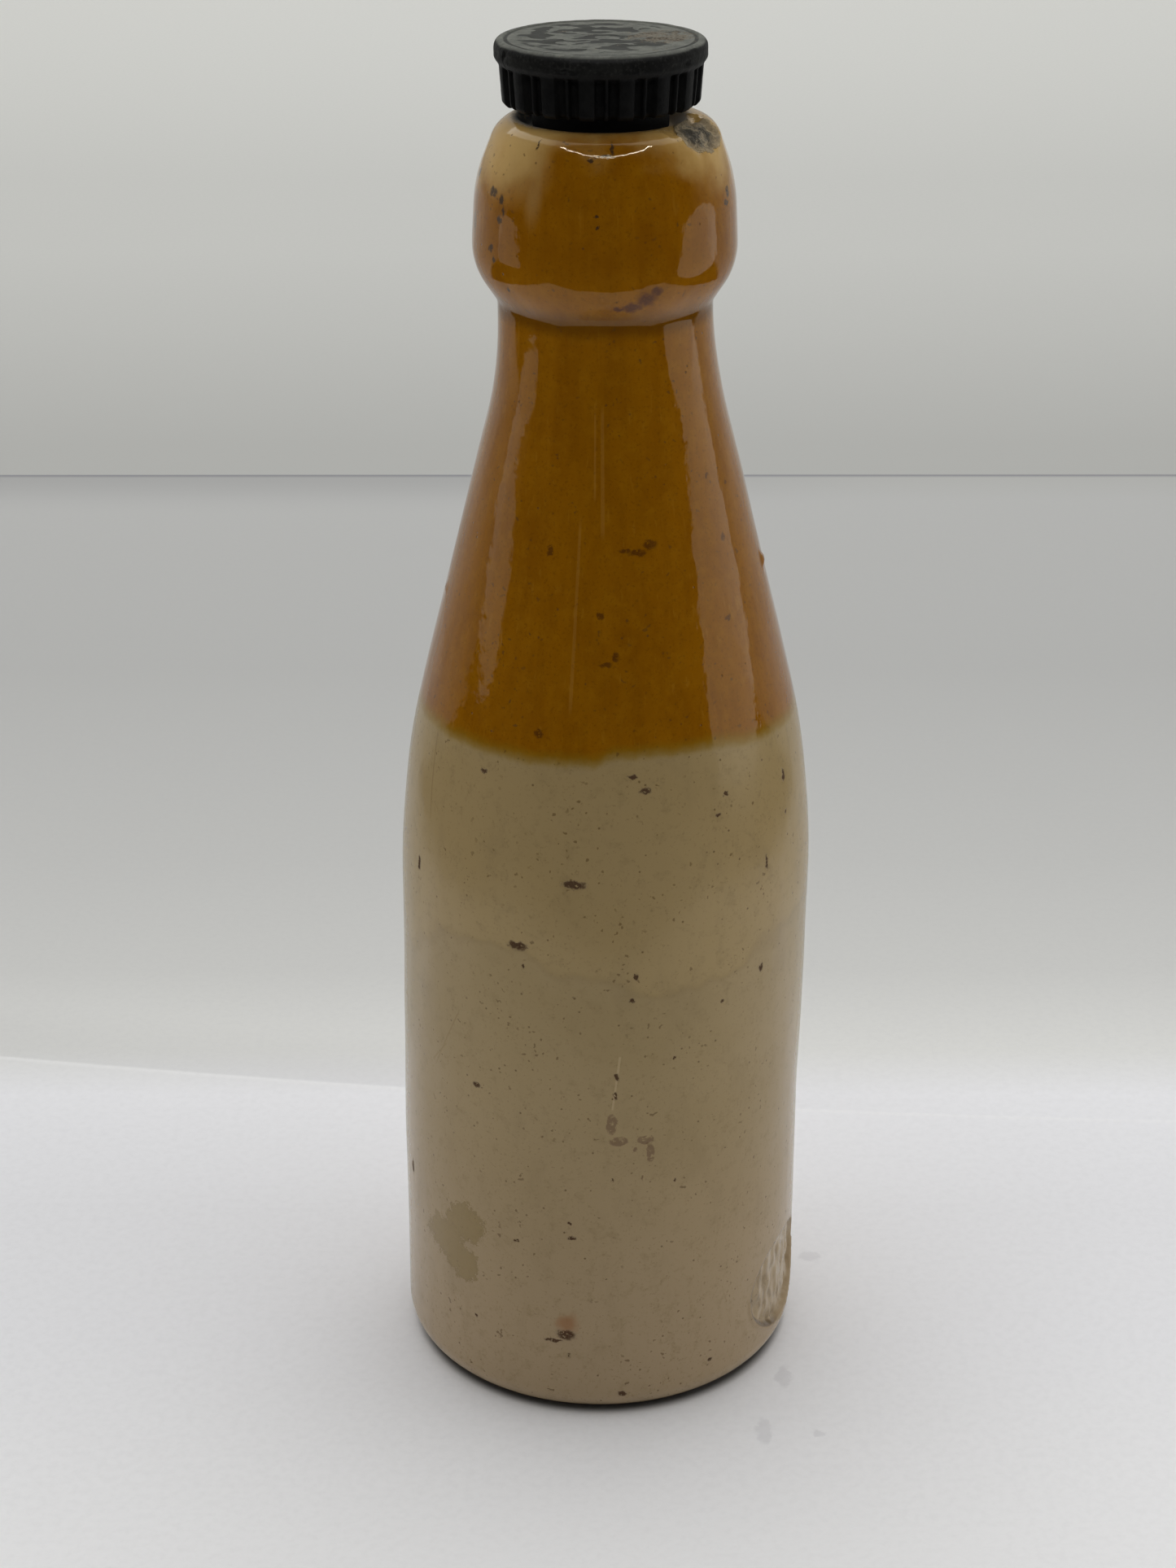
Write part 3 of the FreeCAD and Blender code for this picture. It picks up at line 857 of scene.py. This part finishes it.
def lapped(where, flat, pale, ochre):
    """The dip line sags a little from side to side and runs to an olive edge."""
    turn, up, _ = parts(flat)
    wobble = (clouds(squashed(where, 1, 1, 0.25), 8, 3) - 0.5) * 1.4
    fray = (clouds(where, 1.2, 4, 0.6) - 0.5) * 0.9
    line = up - wobble - fray - turn.rise(-2, 4) * 1.5 + turn.rise(22, 72) * 2.3 - OCHRE_LINE
    dipped = line.rise(-0.9, 1.0)
    edge = line.rise(-1.3, 0) * (1 - line.rise(0.2, 2.2))
    return dipped, mixed(edge * 0.55, mixed(dipped, pale, ochre), OLIVE_EDGE)


# %% What a long life laid over both glazes
SPILT_DRINK = (0.235, 0.163, 0.060, 1)
SPILL_EDGE = (0.16, 0.105, 0.04, 1)
WORN_PATCH = (0.125, 0.062, 0.034, 1)
SPECK = (0.09, 0.045, 0.015, 1)
HEALED_CRACK = (0.55, 0.42, 0.24, 1)
SCRATCH = (0.20, 0.13, 0.05, 1)
RUST = (0.27, 0.115, 0.04, 1)
PURPLE_BLOOM = (0.055, 0.012, 0.010, 1)
BURNT_IRON = (0.050, 0.016, 0.004, 1)
OPEN_PIT = (0.035, 0.021, 0.012, 1)
RUST_HALO = [(-9.3, 18.6, 1.7, 1.8)]


def stained(where, colour):
    """A spill with a darker edge, worn patches, and iron specks in drifts."""
    reach = reach_of(unrolled(bent(where, 3, 4.0)), SPILL)
    reach = reach + (clouds(where, 1.4, 6, 0.85) - 0.5) * 2.0
    spill = 1 - reach.rise(0.93, 1.0)
    colour = mixed(spill * 0.7, colour, SPILT_DRINK)
    colour = mixed(spill * reach.rise(0.78, 0.95) * 0.35, colour, SPILL_EDGE)
    worn = marks_on(unrolled(bent(where, 1.0, 0.9)), WORN_PATCHES, 0.12)
    worn = worn * clouds(where, 0.9, 4, 0.7).rise(0.35, 0.5)
    colour = mixed(worn * 0.65, colour, WORN_PATCH)
    specks = clouds(where, 0.9, 1).rise(0.68, 0.74) * clouds(where, 6, 2).rise(0.45, 0.6)
    return mixed(specks * 0.6, colour, SPECK)


def marked(where, flat, colour):
    """Strokes, rust and burnt crumbs. Returns how dark a place got, and its colour."""
    colour = mixed(strokes_on(flat, PALE_STROKES) * 0.4, colour, HEALED_CRACK)
    colour = mixed(strokes_on(flat, DARK_STROKES) * 0.35, colour, SCRATCH)
    halo = marks_on(unrolled(bent(where, 2, 2.0)), RUST_HALO, 0.5)
    colour = mixed(halo * 0.7, colour, RUST)
    ragged = unrolled(bent(where, 0.8, 1.3))
    crumbs = clouds(where, 0.4, 3, 0.7).rise(0.34, 0.44)
    purple = marks_on(ragged, PURPLE_MARKS, 0.5) * crumbs.most(0.75)
    colour = mixed(purple * 0.85, colour, PURPLE_BLOOM)
    dark = marks_on(ragged, KILN_MARKS) * crumbs
    in_ochre = parts(flat)[1].rise(OCHRE_LINE - 2, OCHRE_LINE + 1)
    colour = mixed(dark * (0.94 - in_ochre * 0.25), colour, BURNT_IRON)
    pits = marks_on(ragged, LIP_PITS) * crumbs
    colour = mixed(pits * 0.9, colour, OPEN_PIT)
    return dark.most(pits).most(purple), colour


# %% The bare clay in the chip
GREY_CLAY = (0.17, 0.15, 0.115, 1)
BUFF_CLAY = (0.42, 0.34, 0.215, 1)
SOOT = (0.030, 0.029, 0.027, 1)
CLEAN_BREAK = (0.46, 0.35, 0.20, 1)
CHIP_SIZES = (CHIP_HALF_WIDTH * 0.8, CHIP_HALF_WIDTH, CHIP_HALF_HEIGHT)


def bare_clay(where):
    """Returns how much of a place is chipped, and burnt grey crumbs over buff clay."""
    middle = tuple(on_wall(CHIP_TURN, CHIP_HEIGHT - 2) + Vector((0, 0, 2)) * MM)
    apart = vector_maths(bent(where, 1.6, 1.8), "SUBTRACT", middle)
    reach = length(squashed(apart, *(1 / (size * MM) for size in CHIP_SIZES)))
    clay = mixed(clouds(where, 1.6, 5, 0.75).rise(0.35, 0.65), GREY_CLAY, BUFF_CLAY)
    clay = mixed(clouds(where, 2.1, 5, 0.8).rise(0.42, 0.55) * 0.88, clay, SOOT)
    clay = mixed(reach.rise(0.72, 1.0) * 0.8, clay, CLEAN_BREAK)
    return 1 - reach.rise(0.97, 1.05), clay


# %% The dirt on the seat, and the dirt and painted shade in the stamp
OLD_DRINK = (0.30, 0.20, 0.09, 1)
DUST = (0.22, 0.22, 0.21, 1)
STAMP_GLAZE = (0.44, 0.35, 0.225, 1)
STAMP_DIRT = (0.17, 0.12, 0.07, 1)
STAMP_EDGE_SHADE = (0.10, 0.062, 0.03, 1)
STAMP = [(STAMP_TURN, STAMP_HEIGHT, STAMP_HALF_WIDTH, STAMP_HALF_HEIGHT)]


def seat_dirt(where, flat, colour):
    """Old drink on the seat, and grey dust on it left of the stopper."""
    turn, up, _ = parts(flat)
    inside = (1 - from_axis(where).rise(12.6, 14.2)) * up.rise(205, 209)
    dusty = inside * turn.rise(-150, -110) * (1 - turn.rise(-48, -36))
    dusty = dusty * clouds(where, 1.2, 5, 0.75).rise(0.3, 0.5)
    colour = mixed(inside * 0.5, colour, OLD_DRINK)
    return dusty, inside, mixed(dusty, colour, DUST)


def stamp_dirt_and_shade(where, flat, colour):
    """The floor of the stamp is pale, with dirt in its hollows and painted shade along its left
    edge.
    """
    reach = reach_of(flat, STAMP)
    pressed = 1 - reach.rise(0.9, 0.97)
    colour = mixed(pressed * 0.3, colour, STAMP_GLAZE)
    hollows = clouds(squashed(where, 1, 1, 0.5), 1.5, 3, 0.6).rise(0.5, 0.6)
    colour = mixed(pressed * hollows * 0.45, colour, STAMP_DIRT)
    # Painted shade: a dark line along the left edge of the stamp, where its wall shades the floor.
    edge = reach.rise(0.92, 0.98) * (1 - reach.rise(1.0, 1.04))
    edge = edge * (1 - parts(flat)[0].rise(STAMP_TURN - 8, STAMP_TURN + 2))
    return mixed(edge * 0.85, colour, STAMP_EDGE_SHADE)


# %% Both glazes together
WARM_SHINE = (1, 0.88, 0.66, 1)


def glaze_material():
    """Both glazes, all their marks, and the skin that the light plays on."""
    material, shader, where = new_material("two_glazes")
    flat = unrolled(where)
    dipped, colour = lapped(where, flat, pale_glaze(where, flat), ochre_glaze(where, flat))
    cells = {"Vector": where, "Scale": 1 / (3.4 * MM)}
    pinholes = 1 - where.node("ShaderNodeTexVoronoi", cells, "Distance").rise(0.03, 0.075)
    colour = mixed(pinholes * 0.7, colour, SPECK)
    dark, colour = marked(where, flat, stained(where, colour))
    dusty, inside, colour = seat_dirt(where, flat, colour)
    chipped, clay = bare_clay(where)
    colour = mixed(chipped, stamp_dirt_and_shade(where, flat, colour), clay)

    peel = clouds(where, 1.1, 2)
    skin = bump(clouds(squashed(where, 1, 1, 0.45), 7, 3), 0.26, 0.5)
    skin = bump(clouds(where, 3.5, 2), 0.07, 0.5, skin)
    skin = bump(clouds(squashed(where, 1, 1, 0.05), 1.2, 3), 0.03, 0.5, skin)
    skin = bump(peel, 0.02, 0.5, skin)
    skin = bump(1 - pinholes.most(dark * (0.5 - dipped * 0.4)), 0.06, 0.6, skin)
    skin = bump(clouds(where, 0.7, 4, 0.7) * chipped, 0.6, 0.9, skin)
    shine = 0.045 + peel.rise(0.4, 0.8) * 0.05 + dark * (0.6 - dipped * 0.55) + (1 - dipped) * 0.15
    shine = shine.most(chipped * 0.9).most(dusty * 0.9).most(inside * 0.45)
    feed(shader, Base_Color=colour, Roughness=shine, Normal=skin)
    feed(shader, IOR=1.45, Specular_Tint=WARM_SHINE)
    return material


bottle.data.materials.append(glaze_material())
print("glazes:", len(bottle.active_material.node_tree.nodes), "nodes")

# %% [markdown]
# ## Hard and soft rubber
#
# Hard rubber goes dull and grey-green with age, because light brings its sulphur out. Dust and
# old drink lodge in the corners of the top, and handling keeps the bead darker. Both rubbers are
# nearly black, so most of what the eye sees is how dull they are and what lies on them.

# %% The hard rubber
BLACK = (0.001, 0.001, 0.001, 1)
SOFT_BLACK = (0.004, 0.004, 0.0035, 1)
FADED = (0.120, 0.124, 0.106, 1)
PALE_FADED = (0.185, 0.190, 0.161, 1)
WORN_BLACK = (0.025, 0.026, 0.022, 1)
DARK_GROOVE = (0.02, 0.02, 0.018, 1)
DARK_SOIL = (0.09, 0.062, 0.038, 1)
DRY_SOIL = (0.26, 0.23, 0.17, 1)
HANDLED = (0.002, 0.002, 0.0015, 1)
PALE_HANDLED = (0.009, 0.009, 0.007, 1)
BEAD_GRIT = (0.045, 0.045, 0.038, 1)
LODGED_AT = (9 * MM, 1 * MM, TOP_HEIGHT * MM)


def faded_top(where, mottle, colour):
    """Grey-green on top, worn black in patches, and darker in the fine groove."""
    up = parts(where)[2] * (1 / MM)
    level = parts(where.node("ShaderNodeNewGeometry", {}, "Normal"))[2]
    top = up.rise(TOP_HEIGHT - 0.9, TOP_HEIGHT - 0.3) * level.rise(0.4, 0.9)
    radius = from_axis(where)
    field = top * (1 - radius.rise(RIM_GROOVE - 2.2, RIM_GROOVE - 1.6))
    worn = clouds(bent(squashed(where, 0.8, 1.5, 1), 3, 1), 3.4, 1).rise(0.505, 0.535) * field
    colour = mixed(top, colour, mixed(mottle.rise(0.35, 0.65), FADED, PALE_FADED))
    colour = mixed(worn * 0.85, colour, WORN_BLACK)
    # The fine groove is made darker.
    in_groove = radius.rise(RIM_GROOVE - 0.55, RIM_GROOVE - 0.3)
    in_groove = in_groove * (1 - radius.rise(RIM_GROOVE, RIM_GROOVE + 0.3))
    return top, worn, mixed(top * in_groove * 0.75, colour, DARK_GROOVE)


def hard_rubber_material():
    """Black rubber, faded and dirty on top, and darker where hands rubbed the bead."""
    material, shader, where = new_material("aged_hard_rubber")
    mottle = clouds(where, 2.5, 5, 0.65)
    fine = clouds(where, 0.5, 3, 0.6)
    top, worn, colour = faded_top(where, mottle, mixed(mottle.rise(0.35, 0.7), BLACK, SOFT_BLACK))
    lodged = 1 - length(vector_maths(where, "SUBTRACT", LODGED_AT)).rise(2 * MM, 7.5 * MM)
    dirt = clouds(where, 1.8, 5, 0.75) + lodged * 0.18 - (1 - lodged) * 0.06
    dirt = dirt.rise(0.56, 0.62) * top
    colour = mixed(dirt * 0.7, colour, mixed(fine.rise(0.4, 0.6), DARK_SOIL, DRY_SOIL))
    bead = (parts(where)[2] * (1 / MM)).rise(BEAD_HEIGHT, BEAD_HEIGHT + 1.5)
    handled = mixed(mottle.rise(0.35, 0.7), HANDLED, PALE_HANDLED)
    colour = mixed(bead * (1 - top), colour, handled)
    colour = mixed(bead * fine.rise(0.5, 0.7) * 0.3, colour, BEAD_GRIT)
    skin = bump(fine, 0.08, 0.6)
    skin = bump(mottle - worn * 0.8, 0.3, 0.6, skin)
    shine = 0.45 + mottle * 0.2 + top * 0.2 + dirt * 0.1
    feed(shader, Base_Color=colour, Roughness=shine, Normal=skin, IOR=1.5, Specular_IOR_Level=0.15)
    return material


stopper.data.materials.append(hard_rubber_material())
print("hard rubber:", len(stopper.active_material.node_tree.nodes), "nodes")


# %% The soft rubber
SOFT_RUBBER = (0.002, 0.002, 0.002, 1)
PERISHED_RUBBER = (0.008, 0.007, 0.006, 1)


def soft_rubber_material():
    """Nearly black, dull and grainy."""
    material, shader, where = new_material("perished_rubber")
    grain = clouds(where, 0.7, 5, 0.7)
    colour = mixed(grain.rise(0.4, 0.8), SOFT_RUBBER, PERISHED_RUBBER)
    skin = bump(grain, 0.12, 0.7)
    feed(shader, Base_Color=colour, Roughness=0.7 + grain * 0.2, Normal=skin, IOR=1.5)
    return material


ring.data.materials.append(soft_rubber_material())
print("soft rubber:", len(ring.active_material.node_tree.nodes), "nodes")

# %% [markdown]
# ## The paper, the light and the camera
#
# The bottle stands on white paper. One large soft lamp hangs above and behind it, and an oval
# card of light stands at each side. A thin curved lamp overhead draws the bright line on the
# lip. A wider copy of it, seen only in reflections, makes that line bright without lighting the
# glaze any more. The room in front is dark, which keeps the middle of the glaze deep in colour.
#
# The lamps alone would light the paper too evenly, so its tones are given as steps with distance.

# %% The tones of the paper, from near to far, and the marks on it
PAPER_TONES = [
    (-75, 0.97), (-10, 0.91), (30, 0.88), (62, 0.92),
    (72, 0.93), (90, 0.81), (125, 0.68), (180, 0.61),
    (300, 0.53), (440, 0.545), (470, 0.505), (500, 0.51),
    (640, 0.60), (760, 0.66), (900, 0.68), (1400, 0.90),
]
CREASE_AT = 70
SEAM_AT = 466
SMUDGES = [
    (38.5, 14.0, 2.2, 1.6),
    (31.5, -22.5, 1.4, 3.2),
    (27.5, -38.0, 1.6, 3.6),
    (36.7, -38.5, 1.3, 1.2),
]
WHITE = (1, 1, 1, 1)
CREASE_SHADE = (0.3, 0.3, 0.3, 1)
SEAM_SHADE = (0.22, 0.22, 0.25, 1)
SAG_SHADE = (0.25, 0.25, 0.27, 1)
FOOT_SHADE = (0.10, 0.095, 0.09, 1)
SMUDGE = (0.55, 0.54, 0.57, 1)
FIBRE = (0.45, 0.45, 0.46, 1)


def paper_blue(away):
    """How blue the paper is: a little near the camera, and less than grey further off."""
    if away < 90:
        return 1.025
    return 0.97 if away < 450 else 0.95


def toned(away):
    """Go through the tones of the paper with distance."""
    tone = PAPER_TONES[0][1]
    paper = (tone, tone, tone, 1)
    for (start, _), (end, tone) in zip(PAPER_TONES, PAPER_TONES[1:]):
        further = (tone, tone * 1.003, tone * paper_blue(end), 1)
        paper = mixed(away.rise(start, end, "LINEAR"), paper, further)
    return paper


def creased(side, away, paper):
    """One crease behind the bottle with a painted highlight and painted shade, and the seam where a
    second sheet begins far behind, with painted shade along it.
    """
    crease = away - CREASE_AT + side * 0.103 - side * side * 0.00028
    # Painted highlight on the crease's ridge, and painted shade just behind it.
    lit_ridge = crease.rise(-1.4, -0.2) * (1 - crease.rise(0, 0.5))
    paper = mixed(lit_ridge * 0.3, paper, WHITE)
    shade = crease.rise(0, 1) * (1 - crease.rise(4, 26)) * side.rise(90, -60)
    paper = mixed(shade * 0.13, paper, CREASE_SHADE)
    past_seam = 1 - away.rise(SEAM_AT, SEAM_AT + 1)
    paper = mixed(away.rise(SEAM_AT - 3, SEAM_AT) * past_seam * 0.75, paper, SEAM_SHADE)
    sag = away.rise(SEAM_AT - 40, SEAM_AT) * past_seam * side.rise(120, -60)
    return mixed(sag * 0.28, paper, SAG_SHADE)


def smudged(where, paper):
    """The shade right under the foot, the smudges beside it, and the fibres."""
    foot = 1 - from_axis(where).rise(BODY_RADIUS - 2.5, BODY_RADIUS - 0.3)
    paper = mixed(foot, paper, FOOT_SHADE)
    for side, away, half_width, half_depth in SMUDGES:
        apart = vector_maths(bent(where, 2, 3), "SUBTRACT", (side * MM, away * MM, 0))
        reach = length(squashed(apart, 1 / (half_width * MM), 1 / (half_depth * MM), 0))
        paper = mixed((1 - reach.rise(0.7, 1.1)) * 0.25, paper, SMUDGE)
    return mixed(clouds(where, 1.6, 4, 0.7).rise(0.35, 0.75) * 0.08, paper, FIBRE)


# %% The paper
SHEET_HALF_WIDTH = 260
SHEET_FRONT = -205
TABLE = (0.02, 0.02, 0.02, 1)


def paper_material():
    """White paper. Where the sheet ends, what is shiny sees a dark table instead."""
    material, shader, where = new_material("white_paper")
    side, away, _ = parts(squashed(where, 1 / MM, 1 / MM, 1 / MM))
    feed(shader, Base_Color=smudged(where, creased(side, away, toned(away))), Roughness=0.9)
    table = where.node("ShaderNodeBsdfDiffuse", {"Color": TABLE})
    in_reflection = where.node("ShaderNodeLightPath", {}, "Is Glossy Ray")
    beside = side.absolute().rise(SHEET_HALF_WIDTH, SHEET_HALF_WIDTH + 10)
    beside = beside * (1 - away.rise(200, 260))
    off_sheet = beside.most(1 - away.rise(SHEET_FRONT - 2, SHEET_FRONT))
    sheet = Flow(where.tree, shader.outputs[0])
    both = where.node("ShaderNodeMixShader", {0: in_reflection * off_sheet, 1: sheet, 2: table})
    where.tree.links.new(both.socket, where.tree.nodes["Material Output"].inputs["Surface"])
    return material


floor_mesh = bpy.data.meshes.new("paper")
floor_mesh.from_pydata([(-4, -4, 0), (4, -4, 0), (4, 6, 0), (-4, 6, 0)], [], [(0, 1, 2, 3)])
floor = bpy.data.objects.new("paper", floor_mesh)
bpy.context.scene.collection.objects.link(floor)
floor_mesh.materials.append(paper_material())
print("paper:", len(PAPER_TONES), "tones and", len(SMUDGES), "smudges")


# %% The light
def soft_lamp(name, start, end, aim, width, brightness, shape="RECTANGLE"):
    """A lit strip, or an oval, from start to end that faces aim. A brightness of 1 looks white."""
    start, end = Vector(start), Vector(end)
    middle = (start + end) / 2
    along = (end - start).normalized()
    back = middle - Vector(aim)
    back = (back - along * back.dot(along)).normalized()
    lamp = bpy.data.lights.new(name, "AREA")
    lamp.shape = shape
    lamp.size = (end - start).length
    lamp.size_y = width
    area = lamp.size * width * (math.pi / 4 if shape == "ELLIPSE" else 1)
    lamp.energy = brightness * math.pi * area
    holder = bpy.data.objects.new(name, lamp)
    facing = Matrix((along, back.cross(along), back)).transposed()
    holder.matrix_world = Matrix.Translation(middle) @ facing.to_4x4()
    bpy.context.scene.collection.objects.link(holder)
    return holder


soft_lamp(
    "ceiling", (-1.3, 0.75, 1.5), (1.3, 0.75, 1.5),
    aim=(0, 0.1, 0.1), width=2.0, brightness=1.15)
soft_lamp(
    "right_card", (0.25, -0.131, 0.105), (0.25, 0.075, 0.160),
    aim=(0, -0.03, 0.13), width=0.12, brightness=0.9, shape="ELLIPSE")
soft_lamp(
    "left_card", (-0.25, -0.077, 0.135), (-0.25, 0.045, 0.160),
    aim=(0, -0.02, 0.15), width=0.05, brightness=0.6, shape="ELLIPSE")

# %% The curved lamp, made of straight pieces, and its glint
RING_HEIGHT = 1.0
RING_AIM = (0, 0, 0.2)
RIGHT_HALF = [(0.47, -0.15), (0.46, -0.45), (0.36, -0.78), (0.15, -1.0)]
lamp_ring = RIGHT_HALF + [(-x, y) for x, y in reversed(RIGHT_HALF)]
for first, last in zip(lamp_ring, lamp_ring[1:]):
    ends = (*first, RING_HEIGHT), (*last, RING_HEIGHT)
    soft_lamp("ring_lamp", *ends, RING_AIM, width=0.007, brightness=29)
    glint = soft_lamp("ring_glint", *ends, RING_AIM, width=0.02, brightness=60)
    glint.visible_diffuse = False
print("lamps:", len(bpy.data.lights))

# %% The room
BLACKNESS = (0, 0, 0, 1)
DARK_ROOM = (0.01, 0.01, 0.01, 1)
ROOM_BEHIND = (0.38, 0.38, 0.37, 1)
BACKDROP = (0.55, 0.55, 0.55, 1)


def room():
    """Soft light from above and the sides, less from the back, and a dark room in front. A shiny
    surface sees only the pale room behind and the dark one in front."""
    world = bpy.data.worlds.new("room")
    world.use_nodes = True
    tree = world.node_tree
    to_right, to_back, upward = parts(Flow(tree).node("ShaderNodeTexCoord", {}, "Generated"))
    overhead = upward.rise(0.5, 0.95) * 0.28
    around = to_right.absolute().rise(0.5, 0.95) * 0.95
    behind = to_back.rise(-0.1, 0.6) * 0.3
    amount = overhead.most(around.most(behind).most(0.02))
    bounced = mixed(amount, BLACKNESS, WHITE)
    seen = mixed(to_back.rise(-0.3, 0.5), DARK_ROOM, ROOM_BEHIND)
    in_reflection = to_right.node("ShaderNodeLightPath", {}, "Is Glossy Ray")
    in_view = to_right.node("ShaderNodeLightPath", {}, "Is Camera Ray")
    colour = mixed(in_view, mixed(in_reflection, bounced, seen), BACKDROP)
    tree.links.new(colour.socket, tree.nodes["Background"].inputs["Color"])
    return world


bpy.context.scene.world = room()
bpy.context.scene.view_settings.view_transform = "Standard"

# %% The camera
CAMERA_PLACE = (-0.57 * MM, -431.4 * MM, 300.0 * MM)
CAMERA_TILT = math.radians(24.62)
CAMERA_TURN = math.radians(0.2)
CAMERA_ROLL = math.radians(-0.09)
SENSOR_WIDTH = 36
FOCAL_LENGTH = 65.95
camera_data = bpy.data.cameras.new("camera")
camera_data.sensor_width = SENSOR_WIDTH
camera_data.lens = FOCAL_LENGTH
camera_data.clip_start = 0.01
camera = bpy.data.objects.new("camera", camera_data)
camera.location = CAMERA_PLACE
tilt = Matrix.Rotation(math.pi / 2 - CAMERA_TILT, 3, "X")
turned_camera = Matrix.Rotation(CAMERA_TURN, 3, "Z") @ tilt
camera.rotation_euler = (turned_camera @ Matrix.Rotation(CAMERA_ROLL, 3, "Z")).to_euler()
bpy.context.scene.collection.objects.link(camera)
bpy.context.scene.camera = camera
print("camera:", round(camera.location.length, 3), "m from the foot of the bottle")
